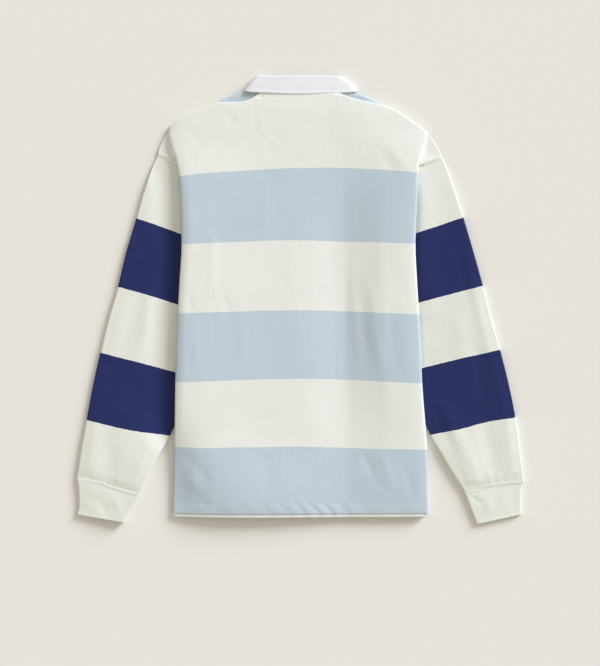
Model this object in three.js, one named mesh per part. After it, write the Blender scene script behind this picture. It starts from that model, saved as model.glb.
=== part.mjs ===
import * as THREE from "three";

// Rugby shirt laid flat with its back up, sleeves down and partly under the body
// Millimetres. +Z up from the surface it lies on, +Y towards the collar, +X to the right

// Sizes
const CLOTH = 1.5;            // wall of the jersey, the collar twill and the placket
const RIB = 1.8;              // wall of the cuffs
const SEAM = 0.3;             // gap at seams and between layers
const LAYER = CLOTH + SEAM;
const FRONT_HEM_DROP = 4.8;   // the front's hem shows this far below the back's
const PLACKET_HALF = 15.5;    // half width of the slot for the placket
const SHOULDER_POINT = 281;   // height of the left shoulder point
const RIGHT_DROP = 3.3;       // the right shoulder lies this much lower
const MIDDLE = 55;            // columns this near the middle run straight up

// Small helpers
const clamp = (x) => Math.min(1, Math.max(0, x));
const ease = (x) => clamp(x) * clamp(x) * (3 - 2 * clamp(x));
const mix = (a, b, t) => a + (b - a) * t;

function lookUp(table, at) {
  // Value from a table of [where, value] rows, straight between them
  let k = 1;
  while (k < table.length - 1 && at > table[k][0]) k += 1;
  const [a, va] = table[k - 1];
  const [b, vb] = table[k];
  return mix(va, vb, clamp((at - a) / (b - a)));
}

function alongPath(path, share) {
  // Point on a path of [x, y] corners, by share of its length, with its direction
  const lengths = path.slice(1).map((p, i) => Math.hypot(p[0] - path[i][0], p[1] - path[i][1]));
  const total = lengths.reduce((a, b) => a + b, 0);
  let left = clamp(share) * total;
  let k = 0;
  while (k < lengths.length - 1 && left > lengths[k]) {
    left -= lengths[k];
    k += 1;
  }
  const t = left / lengths[k];
  const before = path[Math.max(0, t < 0.5 ? k - 1 : k)];
  const after = path[Math.min(path.length - 1, t < 0.5 ? k + 1 : k + 2)];
  const run = Math.hypot(after[0] - before[0], after[1] - before[1]);
  return {
    x: mix(path[k][0], path[k + 1][0], t),
    y: mix(path[k][1], path[k + 1][1], t),
    dx: (after[0] - before[0]) / run,
    dy: (after[1] - before[1]) / run,
  };
}

// A cloth wall from points on its middle surface
class Cloth {
  constructor() {
    this.points = [];
    this.faces = [];
  }

  add(x, y, z) {
    this.points.push(new THREE.Vector3(x, y, z));
    return this.points.length - 1;
  }

  quad(a, b, c, d) {
    this.faces.push([a, b, c], [a, c, d]);
  }

  grid(rows, closed = false, keep = () => true) {
    for (let r = 0; r + 1 < rows.length; r += 1) {
      const count = rows[r].length;
      for (let c = 0; c < (closed ? count : count - 1); c += 1) {
        const next = (c + 1) % count;
        if (keep(r, c)) this.quad(rows[r][c], rows[r][next], rows[r + 1][next], rows[r + 1][c]);
      }
    }
  }

  solid(wall) {
    const used = new Map();
    for (const face of this.faces) for (const i of face) if (!used.has(i)) used.set(i, used.size);
    const points = [...used.keys()].map((i) => this.points[i]);
    const faces = this.faces.map((face) => face.map((i) => used.get(i)));
    const normals = points.map(() => new THREE.Vector3());
    const one = new THREE.Vector3();
    const two = new THREE.Vector3();
    for (const [a, b, c] of faces) {
      one.subVectors(points[b], points[a]);
      two.subVectors(points[c], points[a]);
      one.cross(two);
      for (const i of [a, b, c]) normals[i].add(one);
    }
    const position = [];
    for (const side of [0.5, -0.5]) {
      points.forEach((p, i) => {
        const n = normals[i].clone().normalize().multiplyScalar(side * wall);
        position.push(p.x + n.x, p.y + n.y, p.z + n.z);
      });
    }
    const far = points.length;
    const index = [];
    const edges = new Set();
    for (const face of faces) {
      for (let k = 0; k < 3; k += 1) edges.add(face[k] + " " + face[(k + 1) % 3]);
    }
    for (const face of faces) {
      index.push(face[0], face[1], face[2], face[2] + far, face[1] + far, face[0] + far);
      for (let k = 0; k < 3; k += 1) {
        const a = face[k];
        const b = face[(k + 1) % 3];
        if (edges.has(b + " " + a)) continue;
        index.push(b, a, a + far, b, a + far, b + far);
      }
    }
    const geometry = new THREE.BufferGeometry();
    geometry.setAttribute("position", new THREE.Float32BufferAttribute(position, 3));
    geometry.setIndex(index);
    return geometry;
  }
}

// Outlines of the body. The sides that show are folds of the cloth: [y, x]
const LEFT_EDGE = [
  [-364.5, -216], [-300, -214], [-251, -212.5], [-142, -211], [-82, -209], [-23, -206.5],
  [35, -203.5], [91, -200.5], [160.5, -201.5], [206.5, -204.5], [232, -209], [254, -215],
  [271, -220.5], [281, -222.6], [294.5, -220.8],
];
const RIGHT_EDGE = [
  [-364.5, 218.5], [-300, 217], [-251, 215.5], [-142, 207.5], [-82, 205], [-23, 202],
  [35, 198.5], [91, 196], [160.5, 198.5], [211.5, 200], [232, 202], [254, 207],
  [268, 212.5], [276, 216], [288.4, 214.2],
];
const HEM = [
  [-216, -364.5], [-150, -366], [-60, -367.3], [0, -367], [70, -366.4], [150, -365.6],
  [218.5, -364.5],
];
// Shoulders as the fold runs, and the lower line that the neck gives the front: [x, y]
const SHOULDERS = [
  [-220, 291], [-217, 295], [-204, 306], [-187, 313.5], [-170, 320.5], [-153, 328],
  [-134.5, 337.5], [-114, 347], [-102, 353.2], [-90, 353.7], [-79, 356],
  [79, 354.2], [90, 351.6], [99, 350.4], [112, 346], [126, 339], [143, 330.5], [156.5, 323],
  [170, 315.5], [187, 303.5], [200.5, 294], [211, 288], [214, 285],
];
const FRONT_TOP = [
  ...SHOULDERS.slice(0, 11),
  [-63, 318], [-50, 303], [-30, 288], [-15.5, 281.5], [0, 281], [15.5, 281.5], [30, 288],
  [50, 303], [63, 318],
  ...SHOULDERS.slice(11),
];
// The back ends on the shoulder, then on the seam with the front's wrap, then at the neck
const BACK_TOP = [
  ...SHOULDERS.slice(0, 6),
  [-134.5, 335], [-114, 335.2], [-102, 336.6], [-90, 338.8], [-79, 343.5], [-63, 352.6],
  [-50, 355], [0, 355.2], [50, 355], [63, 351.6], [79, 344.4], [90, 340.4], [99, 338.2],
  [112, 335.2], [126, 332], [143, 327.9],
  ...SHOULDERS.slice(17),
];
// Columns of the body's grid, by where they meet the shoulder line
const COLUMNS = [
  -195, -170, -153, -134.5, -114, -102, -90, -79, -63, -50, -30, -15.5, 0, 15.5, 30, 50, 63,
  79, 90, 99, 112, 126, 143, 170, 193,
];
// Rows of the body's grid, from the hem up.
// edge: height on the side fold. seamX, seamY: where the cloth turned under ends, which is the
// side seam and then the armhole. sleeve, under: how far the sleeve and the cloth turned under
// lift the body. strip: height of the cloth past the fold, for rows of the shoulder's corner.
// right, rightEdge: the right side's own places, where it isn't the left one mirrored
const ROWS = [
  { edge: -364.5, seamX: -167, seamY: -362, sleeve: 0, under: 1 },
  { edge: -328, seamX: -164.5, seamY: -328, sleeve: 0, under: 1 },
  { edge: -290, seamX: -162, seamY: -290, sleeve: 0.6, under: 1 },
  { edge: -250, seamX: -159.5, seamY: -250, sleeve: 1, under: 1 },
  { edge: -205, seamX: -156, seamY: -205, sleeve: 1, under: 1 },
  { edge: -160, seamX: -152, seamY: -160, sleeve: 1, under: 1 },
  { edge: -115, seamX: -148, seamY: -115, sleeve: 1, under: 1 },
  { edge: -70, seamX: -144, seamY: -70, sleeve: 1, under: 1 },
  { edge: -25, seamX: -140.5, seamY: -22, sleeve: 1, under: 1 },
  { edge: 22, seamX: -138, seamY: 26, sleeve: 1, under: 1 },
  { edge: 70, seamX: -141.2, seamY: 73, sleeve: 1, under: 1 },
  { edge: 100, seamX: -144, seamY: 102, sleeve: 1, under: 1 },
  { edge: 125, seamX: -148.5, seamY: 126, sleeve: 1, under: 1 },
  { edge: 150, seamX: -153.8, seamY: 150, sleeve: 1, under: 1 },
  { edge: 172, seamX: -159.8, seamY: 173, sleeve: 1, under: 1 },
  { edge: 190, seamX: -166.5, seamY: 191, sleeve: 1, under: 1 },
  { edge: 204, seamX: -172.5, seamY: 206, sleeve: 1, under: 1 },
  { edge: 215, seamX: -181, seamY: 219.8, sleeve: 1, under: 1 },
  { edge: 224, seamX: -194.5, seamY: 226, sleeve: 1, under: 1 },
  { edge: 232, seamX: -209, seamY: 233.2, sleeve: 1, under: 1, strip: 4.35 },
  { edge: 238, seamX: -222, seamY: 238.9, sleeve: 1, under: 1, strip: 4.2 },
  { edge: 243, seamX: -233, seamY: 243.6, sleeve: 1, under: 0.95, strip: 3.5 },
  { edge: 250, seamX: -241, seamY: 247.4, sleeve: 0.95, under: 0.85, strip: 2.6,
    right: [240.5, 244.6], rightEdge: 246.5 },
  { edge: 260, seamX: -238.5, seamY: 256.5, sleeve: 0.75, under: 0.65, strip: 2.4,
    right: [236.2, 252.5], rightEdge: 256 },
  { edge: 270, seamX: -233.7, seamY: 267, sleeve: 0.4, under: 0.35, strip: 2.3,
    right: [231, 262.5], rightEdge: 265 },
  { edge: 281, seamX: -229.2, seamY: 275.2, sleeve: 0.15, under: 0.1, strip: 2.35,
    right: [224.9, 272], rightEdge: 276 },
  { edge: 294.5, seamX: -225.2, seamY: 282.3, sleeve: 0, under: 0, strip: 2.45,
    right: [220.6, 278], rightEdge: 288.4 },
];
const KNEE = 236;             // above this the front's rows close up towards its neck
const FRONT_STRIP_ROWS = 19;  // the front's turned-under cloth stops here, at the armhole

// Height of the middle of the front panel's cloth
function leafLift(x, y) {
  return LAYER * ease((y - 196) / 44) * ease((148 - Math.abs(x)) / 34);
}

function frontHeight(row, x, y, seamX) {
  const past = Math.abs(seamX) - Math.abs(x);
  const side = 1 - ease((past - 22) / 48);
  return CLOTH / 2 + 2 * LAYER * (row.sleeve + row.under) * side + leafLift(x, y);
}

// Fold, seam and heights of one side of the body, on one row. way: -1 left, 1 right
function sideOf(row, way) {
  const lower = way > 0 ? RIGHT_DROP * ease((row.edge - 130) / 90) : 0;
  const own = way > 0 && row.right;
  const y = own ? row.rightEdge : row.edge - lower;
  const x = lookUp(way > 0 ? RIGHT_EDGE : LEFT_EDGE, y);
  const seam = own
    ? { x: row.right[0], y: row.right[1] }
    : { x: -way * row.seamX, y: row.seamY - lower };
  const radius = (3 * LAYER) / 2;
  return { x, y, seam, centre: x - way * (radius + CLOTH / 2) };
}

function columnX(top, from, left, right) {
  // A column's place on a row whose flat part runs from left to right
  if (Math.abs(top) <= MIDDLE) return top;
  const [start, end] = top < 0 ? [from.left, left] : [from.right, right];
  const sign = Math.sign(top);
  return sign * MIDDLE + (top - sign * MIDDLE) * (end - sign * MIDDLE) / (start - sign * MIDDLE);
}

function foldPath(x, way, high, low, reach, lean) {
  // Four points round a fold, from the upper cloth to the lower. lean 1: turned right under
  const bulge = (2 / 3) * (high - low) * lean + reach * 0.5 * (1 - lean);
  const end = reach * (1 - lean);
  return [0.25, 0.5, 0.75].map((t) => {
    const a = 3 * t * (1 - t) * (1 - t);
    const b = 3 * t * t * (1 - t);
    const c = t * t * t;
    return {
      x: x + way * (a * bulge + b * mix(end * 0.6, bulge, lean) + c * end),
      z: high * (1 - t) * (1 - t) * (1 - t) + high * a + low * b + low * c,
    };
  });
}

const STRIP_COLUMNS = 3;

// One panel of the body. side "back" lies on "front" and its folds go round the front's
function bodyPanel(side) {
  const back = side === "back";
  const top = back ? BACK_TOP : FRONT_TOP;
  const cloth = new Cloth();
  const last = ROWS[ROWS.length - 1];
  const from = { left: sideOf(last, -1).centre, right: sideOf(last, 1).centre };
  const topY = [sideOf(last, -1).y, sideOf(last, 1).y];
  const hem = back ? 0 : FRONT_HEM_DROP;
  const lift = back ? LAYER : 0;
  const grid = [];
  const flat = [];
  ROWS.forEach((row) => {
    const ends = [sideOf(row, -1), sideOf(row, 1)];
    const line = [];
    const tops = [from.left, ...COLUMNS, from.right];
    const share = [-1, 1].map((way, i) => {
      const end = ends[i];
      const low = lookUp(HEM, end.x);
      return (end.y - low) / (topY[i] - low);
    });
    tops.forEach((at, i) => {
      const x = columnX(at, from, ends[0].centre, ends[1].centre);
      const last = i === tops.length - 1;
      const v = mix(share[0], share[1], i / (tops.length - 1));
      const low = lookUp(HEM, x);
      const fold = lookUp(SHOULDERS, at);
      const own = lookUp(top, at);
      const knee = back || Math.abs(at) > 70 ? fold - 45 : KNEE;
      let y = i === 0 || last ? ends[last ? 1 : 0].y : low + v * (fold - low);
      if (i && !last && y > knee) y = knee + ((y - knee) * (own - knee)) / (fold - knee);
      const seamX = x < 0 ? ends[0].seam.x : ends[1].seam.x;
      const z = frontHeight(row, x, y, seamX) + lift;
      line.push({ x, y: row === ROWS[0] ? y - hem : y, z });
    });
    flat.push(line);
  });
  ROWS.forEach((row, r) => {
    const line = flat[r].map((p) => cloth.add(p.x, p.y, p.z));
    const parts = [-1, 1].map((way) => {
      const end = sideOf(row, way);
      const start = way < 0 ? flat[r][0] : flat[r][flat[r].length - 1];
      const stripZ = row.strip ?? CLOTH / 2 + 2 * LAYER * row.sleeve + (back ? 0 : LAYER);
      const lean = row.strip === undefined ? 1 : ease((241 - row.edge) / 9);
      const reach = Math.abs(end.seam.x - end.centre) * 0.35;
      const round = foldPath(end.centre, way, start.z, stripZ, reach, lean);
      const points = round.map((p) => ({ x: p.x, y: start.y, z: p.z }));
      const out = end.centre + way * reach * (1 - lean);
      for (let k = 0; k <= STRIP_COLUMNS; k += 1) {
        const t = k / STRIP_COLUMNS;
        const y = mix(start.y, end.seam.y - (back ? 0 : hem * (r ? 0 : 1)), t);
        points.push({ x: mix(out, end.seam.x, t), y, z: stripZ });
      }
      return points.map((p) => cloth.add(p.x, p.y, p.z));
    });
    grid.push([...parts[0].reverse(), ...line, ...parts[1]]);
  });
  return { cloth, grid, flat, edge: STRIP_COLUMNS + 4 };
}

function backPanel() {
  const { cloth, grid } = bodyPanel("back");
  cloth.grid(grid);
  return cloth.solid(CLOTH);
}

// The front turns over the shoulders next to the collar, and shows there on the back
function frontPanel() {
  const { cloth, grid, flat, edge } = bodyPanel("front");
  const count = grid[0].length;
  const slot = [COLUMNS.indexOf(-15.5) + 1 + edge, COLUMNS.indexOf(15.5) + 1 + edge];
  const slotRow = ROWS.findIndex((row) => row.edge === 70);
  const side = (c) => c < edge || c >= count - 1 - edge;
  cloth.grid(grid, false, (r, c) => {
    if (side(c)) return r + 1 < FRONT_STRIP_ROWS;
    return !(r >= slotRow && c >= slot[0] && c < slot[1]);
  });
  const lastRow = grid[grid.length - 1];
  const radius = LAYER / 2;
  for (const way of [-1, 1]) {
    const names = way < 0 ? [-134.5, -114, -102, -90, -79] : [79, 90, 99, 112, 126, 143];
    const lines = names.map((at) => {
      const c = COLUMNS.indexOf(at) + 1 + edge;
      const start = cloth.points[lastRow[c]];
      const before = lookUp(SHOULDERS, at - 6);
      const after = lookUp(SHOULDERS, at + 6);
      const run = Math.hypot(12, after - before);
      const out = { x: (before - after) / run, y: 12 / run };
      start.x -= out.x * (radius + CLOTH / 2);
      start.y -= out.y * (radius + CLOTH / 2);
      const line = [lastRow[c]];
      for (const turn of [45, 90, 135, 180]) {
        const angle = THREE.MathUtils.degToRad(turn);
        const reach = radius * Math.sin(angle);
        line.push(cloth.add(start.x + out.x * reach, start.y + out.y * reach,
          start.z + radius * (1 - Math.cos(angle))));
      }
      const neck = Math.abs(at) === 79;
      const end = {
        x: neck ? way * 63.4 : at,
        y: (neck ? lookUp(BACK_TOP, way * 63.4) : lookUp(BACK_TOP, at)) + 0.45,
      };
      for (const t of [0.5, 1]) {
        line.push(cloth.add(mix(start.x, end.x, t), mix(start.y, end.y, t), start.z + LAYER));
      }
      return line;
    });
    for (let k = 0; k + 1 < lines.length; k += 1) {
      for (let j = 0; j + 1 < lines[k].length; j += 1) {
        cloth.quad(lines[k][j], lines[k + 1][j], lines[k + 1][j + 1], lines[k][j + 1]);
      }
    }
  }
  return { geometry: cloth.solid(CLOTH), flat, slotRow };
}

// The placket is set into the slot of the front
function placket(flat, slotRow) {
  const cloth = new Cloth();
  const middle = COLUMNS.indexOf(0) + 1;
  const rows = [];
  for (let r = slotRow; r < flat.length; r += 1) {
    const first = r === slotRow ? 0.4 : 0;
    rows.push([-1, 0, 1].map((k) => {
      const p = flat[r][middle + k];
      return cloth.add(k * (PLACKET_HALF - SEAM - 0.1), p.y + first, p.z);
    }));
  }
  cloth.grid(rows);
  return cloth.solid(CLOTH);
}

// A flattened tube between two edges, open at both ends. Used for the sleeves and the cuffs
function flatTube({ outer, inner, end, rows, wall, columns = 7 }) {
  const cloth = new Cloth();
  const radius = (wall + SEAM) / 2;
  const inset = radius + wall / 2;
  const low = wall / 2;
  const grid = rows.map((share) => {
    const o = alongPath(outer, share);
    const i = alongPath(inner, share);
    const oSign = Math.sign((o.x - i.x) * -o.dy + (o.y - i.y) * o.dx);
    const outward = { x: -o.dy * oSign, y: o.dx * oSign };
    const iSign = Math.sign((i.x - o.x) * -i.dy + (i.y - o.y) * i.dx);
    const inward = { x: -i.dy * iSign, y: i.dx * iSign };
    const a = { x: o.x - outward.x * inset, y: o.y - outward.y * inset };
    const b = { x: i.x - inward.x * inset, y: i.y - inward.y * inset };
    const fade = end ? Math.pow(clamp(1 - share / 0.45), 1.5) : 0;
    const across = [];
    for (let k = 0; k <= columns; k += 1) {
      const t = k / columns;
      const p = { x: mix(a.x, b.x, t), y: mix(a.y, b.y, t) };
      if (fade) {
        const on = alongPath(end, t);
        const first = end[0];
        const final = end[end.length - 1];
        p.x += (on.x - mix(first[0], final[0], t)) * fade;
        p.y += (on.y - mix(first[1], final[1], t)) * fade;
      }
      across.push(p);
    }
    const ring = across.map((p) => cloth.add(p.x, p.y, low));
    for (const turn of [45, 90, 135]) {
      const angle = THREE.MathUtils.degToRad(turn);
      const reach = radius * Math.sin(angle);
      ring.push(cloth.add(b.x + inward.x * reach, b.y + inward.y * reach,
        low + radius * (1 - Math.cos(angle))));
    }
    for (const p of [...across].reverse()) ring.push(cloth.add(p.x, p.y, low + 2 * radius));
    for (const turn of [135, 90, 45]) {
      const angle = THREE.MathUtils.degToRad(turn);
      const reach = radius * Math.sin(angle);
      ring.push(cloth.add(a.x + outward.x * reach, a.y + outward.y * reach,
        low + radius * (1 - Math.cos(angle))));
    }
    return ring;
  });
  cloth.grid(grid, true);
  return cloth.solid(wall);
}

// Sleeves: the outer edge from the shoulder down, the underarm edge, and the armhole between
const SLEEVES = {
  left: {
    outer: [
      [-241.5, 245], [-253.5, 217], [-268.5, 172.5], [-278, 136.5], [-296, 75.5], [-309, 21],
      [-324.5, -31.5], [-339.5, -93.5], [-352, -150.5], [-362.5, -206.5], [-370.5, -247.5],
      [-379, -304],
    ],
    inner: [
      [-137.5, 28], [-146, -26.5], [-161.5, -77.5], [-178.5, -135], [-200.5, -184.5],
      [-221.5, -233], [-241.5, -268], [-272.5, -331.5],
    ],
    end: [
      [-241.5, 245], [-209, 231.8], [-177, 217.5], [-158, 169], [-144.5, 109.5], [-137.5, 28],
    ],
  },
  right: {
    outer: [
      [241.5, 241.5], [251.5, 218.5], [267, 172.5], [278, 138.5], [296, 77.5], [311, 23],
      [324.5, -31.5], [341, -88.5], [355.5, -147], [366.5, -202.5], [373, -247.5],
      [380.5, -309.5],
    ],
    inner: [
      [137.5, 28], [146, -20.5], [161.5, -74], [177, -126.5], [200.5, -179.5],
      [222.5, -231.5], [241.5, -266], [277, -323.5],
    ],
    end: [
      [241.5, 241.5], [209, 228.3], [177, 215], [158, 167], [144.5, 108], [137.5, 28],
    ],
  },
};
const SLEEVE_ROWS = [
  0, 0.03, 0.07, 0.12, 0.18, 0.25, 0.33, 0.41, 0.5, 0.59, 0.68, 0.77, 0.86, 0.94, 1,
];
const CUFFS = {
  left: {
    outer: [[-378.4, -305.6], [-375.8, -324], [-375.2, -349.5], [-378.5, -364]],
    inner: [[-272.6, -332.6], [-284, -351], [-298.5, -378]],
  },
  right: {
    outer: [[379.9, -310.8], [376.5, -324], [375.5, -349.5], [377, -362]],
    inner: [[277.8, -324.6], [289, -353], [300, -380.5]],
  },
};
const CUFF_ROWS = [0, 0.33, 0.67, 1];

// Collar: a ring round the neck, lying flat. neck: its seam. fold: where it turns over.
// edge: the free edge of the part that turns over. turn: 90 on the back, -90 on the front
const COLLAR = [
  { neck: [0, 355.6], fold: [0, 379.4], edge: [0, 349.4], turn: 90 },
  { neck: [30, 355.5], fold: [30, 379.4], edge: [31, 350.4], turn: 90 },
  { neck: [50, 355.5], fold: [50, 379.4], edge: [56, 351.6], turn: 90 },
  { neck: [61, 355.2], fold: [58.5, 379.4], edge: [76, 352.4], turn: 90 },
  { neck: [70, 355.8], fold: [61, 379.2], edge: [88, 353], turn: 90 },
  { neck: [76, 356.8], fold: [61, 379], edge: [91.5, 354.4], turn: 45, bulge: 4.5 },
  { neck: [76, 357], fold: [61, 378.8], edge: [91.5, 355], turn: 0, bulge: 5 },
  { neck: [76, 356.8], fold: [61, 378.6], edge: [91.5, 354.9], turn: -45, bulge: 4.5 },
  { neck: [75.5, 355.5], fold: [61, 378], edge: [91.5, 353.9], turn: -90 },
  { neck: [74, 351], fold: [61, 375], edge: [93.5, 346], turn: -90 },
  { neck: [62.4, 318.6], fold: [58, 358], edge: [96, 318], turn: -90 },
  { neck: [49.4, 303.6], fold: [48, 337], edge: [91, 291], turn: -90 },
  { neck: [29.7, 288.7], fold: [30, 318], edge: [81, 269], turn: -90 },
  { neck: [15.5, 282.1], fold: [16, 310.5], edge: [72, 259], turn: -90 },
  { neck: [5, 281.8], fold: [6, 307], edge: [66, 256], turn: -90 },
];

function collar() {
  const cloth = new Cloth();
  const half = LAYER / 2;
  const middle = CLOTH / 2 + LAYER + half;
  const station = (row, way) => {
    const turn = THREE.MathUtils.degToRad(row.turn);
    const out = { x: way * Math.cos(turn), z: Math.sin(turn) };
    const run = Math.hypot(row.fold[0] - row.neck[0], row.fold[1] - row.neck[1]);
    const up = {
      x: (way * (row.fold[0] - row.neck[0])) / run,
      y: (row.fold[1] - row.neck[1]) / run,
    };
    const place = (p, r, past = 0) => cloth.add(way * p[0] + out.x * r + up.x * past,
      p[1] + up.y * past, middle + out.z * r);
    const between = (p, q, t) => [mix(p[0], q[0], t), mix(p[1], q[1], t)];
    const line = [0, 1 / 3, 2 / 3, 1].map((t) => place(between(row.neck, row.fold, t), half));
    for (const angle of [45, 90, 135]) {
      const a = THREE.MathUtils.degToRad(angle);
      line.push(place(row.fold, 2 * half - half * Math.cos(a), half * Math.sin(a)));
    }
    for (const t of [0, 1 / 3, 2 / 3, 1]) {
      const p = between(row.fold, row.edge, t);
      const bulge = (row.bulge ?? 0) * 4 * t * (1 - t);
      line.push(place([p[0] + bulge * 0.75, p[1] + bulge * 0.66], 3 * half));
    }
    return line;
  };
  const grid = [
    ...[...COLLAR].reverse().map((row) => station(row, -1)),
    ...COLLAR.slice(1).map((row) => station(row, 1)),
  ];
  cloth.grid(grid);
  return cloth.solid(CLOTH);
}

// The shirt
const COLOURS = { body: 0xdfe3e2, collar: 0xf1f1f0, cuff: 0xd8d8cc, placket: 0xdfe3e2 };
const shirt = new THREE.Group();
shirt.name = "rugby_shirt";

function put(name, geometry, colour) {
  const material = new THREE.MeshStandardMaterial({ color: colour, roughness: 0.9 });
  const mesh = new THREE.Mesh(geometry, material);
  mesh.name = name;
  shirt.add(mesh);
}

put("back_panel", backPanel(), COLOURS.body);
const front = frontPanel();
put("front_panel", front.geometry, COLOURS.body);
put("placket", placket(front.flat, front.slotRow), COLOURS.placket);
for (const side of ["left", "right"]) {
  put("sleeve_" + side, flatTube({ ...SLEEVES[side], rows: SLEEVE_ROWS, wall: CLOTH }),
    COLOURS.body);
}
for (const side of ["left", "right"]) {
  put("cuff_" + side, flatTube({ ...CUFFS[side], rows: CUFF_ROWS, wall: RIB }),
    COLOURS.cuff);
}
put("collar", collar(), COLOURS.collar);

// Centre of the whole over the origin, its underside on z = 0
const box = new THREE.Box3().setFromObject(shirt);
const shift = box.getCenter(new THREE.Vector3());
shirt.children.forEach((mesh) => mesh.geometry.translate(-shift.x, -shift.y, -box.min.z));

export default shirt;
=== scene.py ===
# %% [markdown]
# A rugby shirt lies face down on a pale table, so we look at its back. Everything here is cloth:
# thin walls that lie on each other, fold round an edge and come back underneath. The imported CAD
# model gives the place and size of each piece. This lesson dresses each one with a finer wall,
# soft folds, knitted stripes and sewing, and never moves the CAD model itself.

# %% Load the frame
import math
import bpy
import numpy as np
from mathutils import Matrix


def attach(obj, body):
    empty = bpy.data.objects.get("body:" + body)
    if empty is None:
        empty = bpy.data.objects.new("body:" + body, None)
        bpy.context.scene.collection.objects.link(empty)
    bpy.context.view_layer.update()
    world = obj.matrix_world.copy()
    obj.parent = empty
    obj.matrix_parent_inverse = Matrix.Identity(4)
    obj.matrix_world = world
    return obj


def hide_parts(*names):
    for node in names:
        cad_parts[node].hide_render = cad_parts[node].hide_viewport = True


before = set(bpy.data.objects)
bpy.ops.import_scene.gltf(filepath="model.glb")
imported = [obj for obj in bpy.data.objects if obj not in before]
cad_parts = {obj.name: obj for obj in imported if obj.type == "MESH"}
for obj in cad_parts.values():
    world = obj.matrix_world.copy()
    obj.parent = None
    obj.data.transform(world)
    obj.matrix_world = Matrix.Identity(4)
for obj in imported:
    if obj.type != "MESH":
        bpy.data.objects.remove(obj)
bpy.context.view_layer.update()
scene = bpy.context.scene
print("CAD pieces:", sorted(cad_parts))

# %% [markdown]
# The photograph looks straight down. One of its pixels is 1.70 mm, found from the length of the
# body, and the middle of the picture is a little below the middle of the shirt. A long lens from
# high up keeps the sides upright, as a copy stand does.

# %% Camera
PIXEL = 1.70                    # mm of shirt to a pixel of the photograph
PICTURE = (600, 666)            # the photograph's frame in pixels
MIDDLE_OF_SHIRT = (300.2, 299.5)

lens = bpy.data.cameras.new("copy_camera")
camera = bpy.data.objects.new("copy_camera", lens)
scene.collection.objects.link(camera)
scene.camera = camera
lens.sensor_width = 36
lens.lens = 100
seen = PICTURE[1] * PIXEL / 1000          # metres along the picture's long side
camera.location = (
    (PICTURE[0] / 2 - MIDDLE_OF_SHIRT[0]) * PIXEL / 1000,
    (MIDDLE_OF_SHIRT[1] - PICTURE[1] / 2) * PIXEL / 1000,
    seen * lens.lens / lens.sensor_width,
)
lens.clip_end = 20
print("camera height in m:", round(camera.location.z, 2))

# %% [markdown]
# The light comes from the upper right. It stands low and is very wide, so each edge throws a
# short blurred shadow down and to the left. It is a little cool, and the light that fills the
# shadows is warm, as it comes back off the pale table. A sun lamp with a wide disc does the work
# of a far softbox and lights the whole table evenly.

# %% Floor and light
LIGHT_FROM = (0.700, 0.630, 0.352)        # direction of the lamp from the shirt
LIGHT_SPREAD = 25.5                       # width of the lamp as seen from the shirt, in degrees
KEY = 3.75
KEY_COLOUR = (0.93, 1.0, 1.115)
FILL = 0.575
FILL_COLOUR = (1.065, 1.0, 0.90)

scene.view_settings.view_transform = "Standard"
scene.view_settings.look = "None"


def plain(name, colour, roughness=0.9):
    """A plain material: one colour and no shine."""
    material = bpy.data.materials.new(name)
    material.use_nodes = True
    shader = material.node_tree.nodes["Principled BSDF"]
    shader.inputs["Base Color"].default_value = (*colour, 1)
    shader.inputs["Roughness"].default_value = roughness
    shader.inputs["Specular IOR Level"].default_value = 0.1
    return material


floor_mesh = bpy.data.meshes.new("table_top")
floor_mesh.from_pydata(
    [(-4, -4, 0), (4, -4, 0), (4, 4, 0), (-4, 4, 0)], [], [(0, 1, 2, 3)])
floor = bpy.data.objects.new("table_top", floor_mesh)
floor.location.z = -0.0004
floor_mesh.materials.append(plain("table_paper", (0.80, 0.775, 0.722)))
scene.collection.objects.link(floor)

lamp = bpy.data.lights.new("softbox", "SUN")
lamp.angle = math.radians(LIGHT_SPREAD)
lamp.energy = KEY
lamp.color = KEY_COLOUR
softbox = bpy.data.objects.new("softbox", lamp)
direction = np.array(LIGHT_FROM) / np.linalg.norm(LIGHT_FROM)
softbox.location = direction * 3
softbox.rotation_euler = (
    math.acos(direction[2]), 0, math.atan2(direction[1], direction[0]) + math.pi / 2)
scene.collection.objects.link(softbox)

room = bpy.data.worlds.new("even_room")
room.use_nodes = True
room.node_tree.nodes["Background"].inputs["Color"].default_value = (*FILL_COLOUR, 1)
room.node_tree.nodes["Background"].inputs["Strength"].default_value = FILL
scene.world = room
print("lamp stands", round(math.degrees(math.asin(direction[2]))), "degrees above the table")

# %% [markdown]
# Cloth edges are smooth curves, so a short table of measured places is enough: a cubic that never
# overshoots runs through them. Every outline below is such a table, in millimetres, with the
# hem at the bottom and the collar at the top.

# %% Curves through a short table
CENTRE_SHIFT = (0.75, 0.277)    # the CAD model moves its middle to the origin by this much


def curve(table, at):
    """Smooth values at the places asked for, through the rows of a table (place, value)."""
    table = np.array(table, float)
    x, y = table[:, 0], table[:, 1]
    step = np.diff(x)
    slope = np.diff(y) / step
    tangent = np.zeros(len(x))
    same = slope[:-1] * slope[1:] > 0
    tangent[1:-1][same] = (2 * slope[:-1] * slope[1:])[same] / (slope[:-1] + slope[1:])[same]
    tangent[0], tangent[-1] = slope[0], slope[-1]
    at = np.clip(np.asarray(at, float), x[0], x[-1])
    k = np.clip(np.searchsorted(x, at) - 1, 0, len(x) - 2)
    t = (at - x[k]) / step[k]
    return (y[k] * (1 + 2 * t) * (1 - t) ** 2 + y[k + 1] * t * t * (3 - 2 * t)
            + step[k] * (tangent[k] * t * (1 - t) ** 2 - tangent[k + 1] * t * t * (1 - t)))


def ease(x):
    """0 to 1 with soft ends."""
    x = np.clip(x, 0, 1)
    return x * x * (3 - 2 * x)


def mix(a, b, t):
    return a + (b - a) * t


print("half way between two rows:", float(curve([(0, 0), (10, 4), (20, 4)], 5)))

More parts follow.
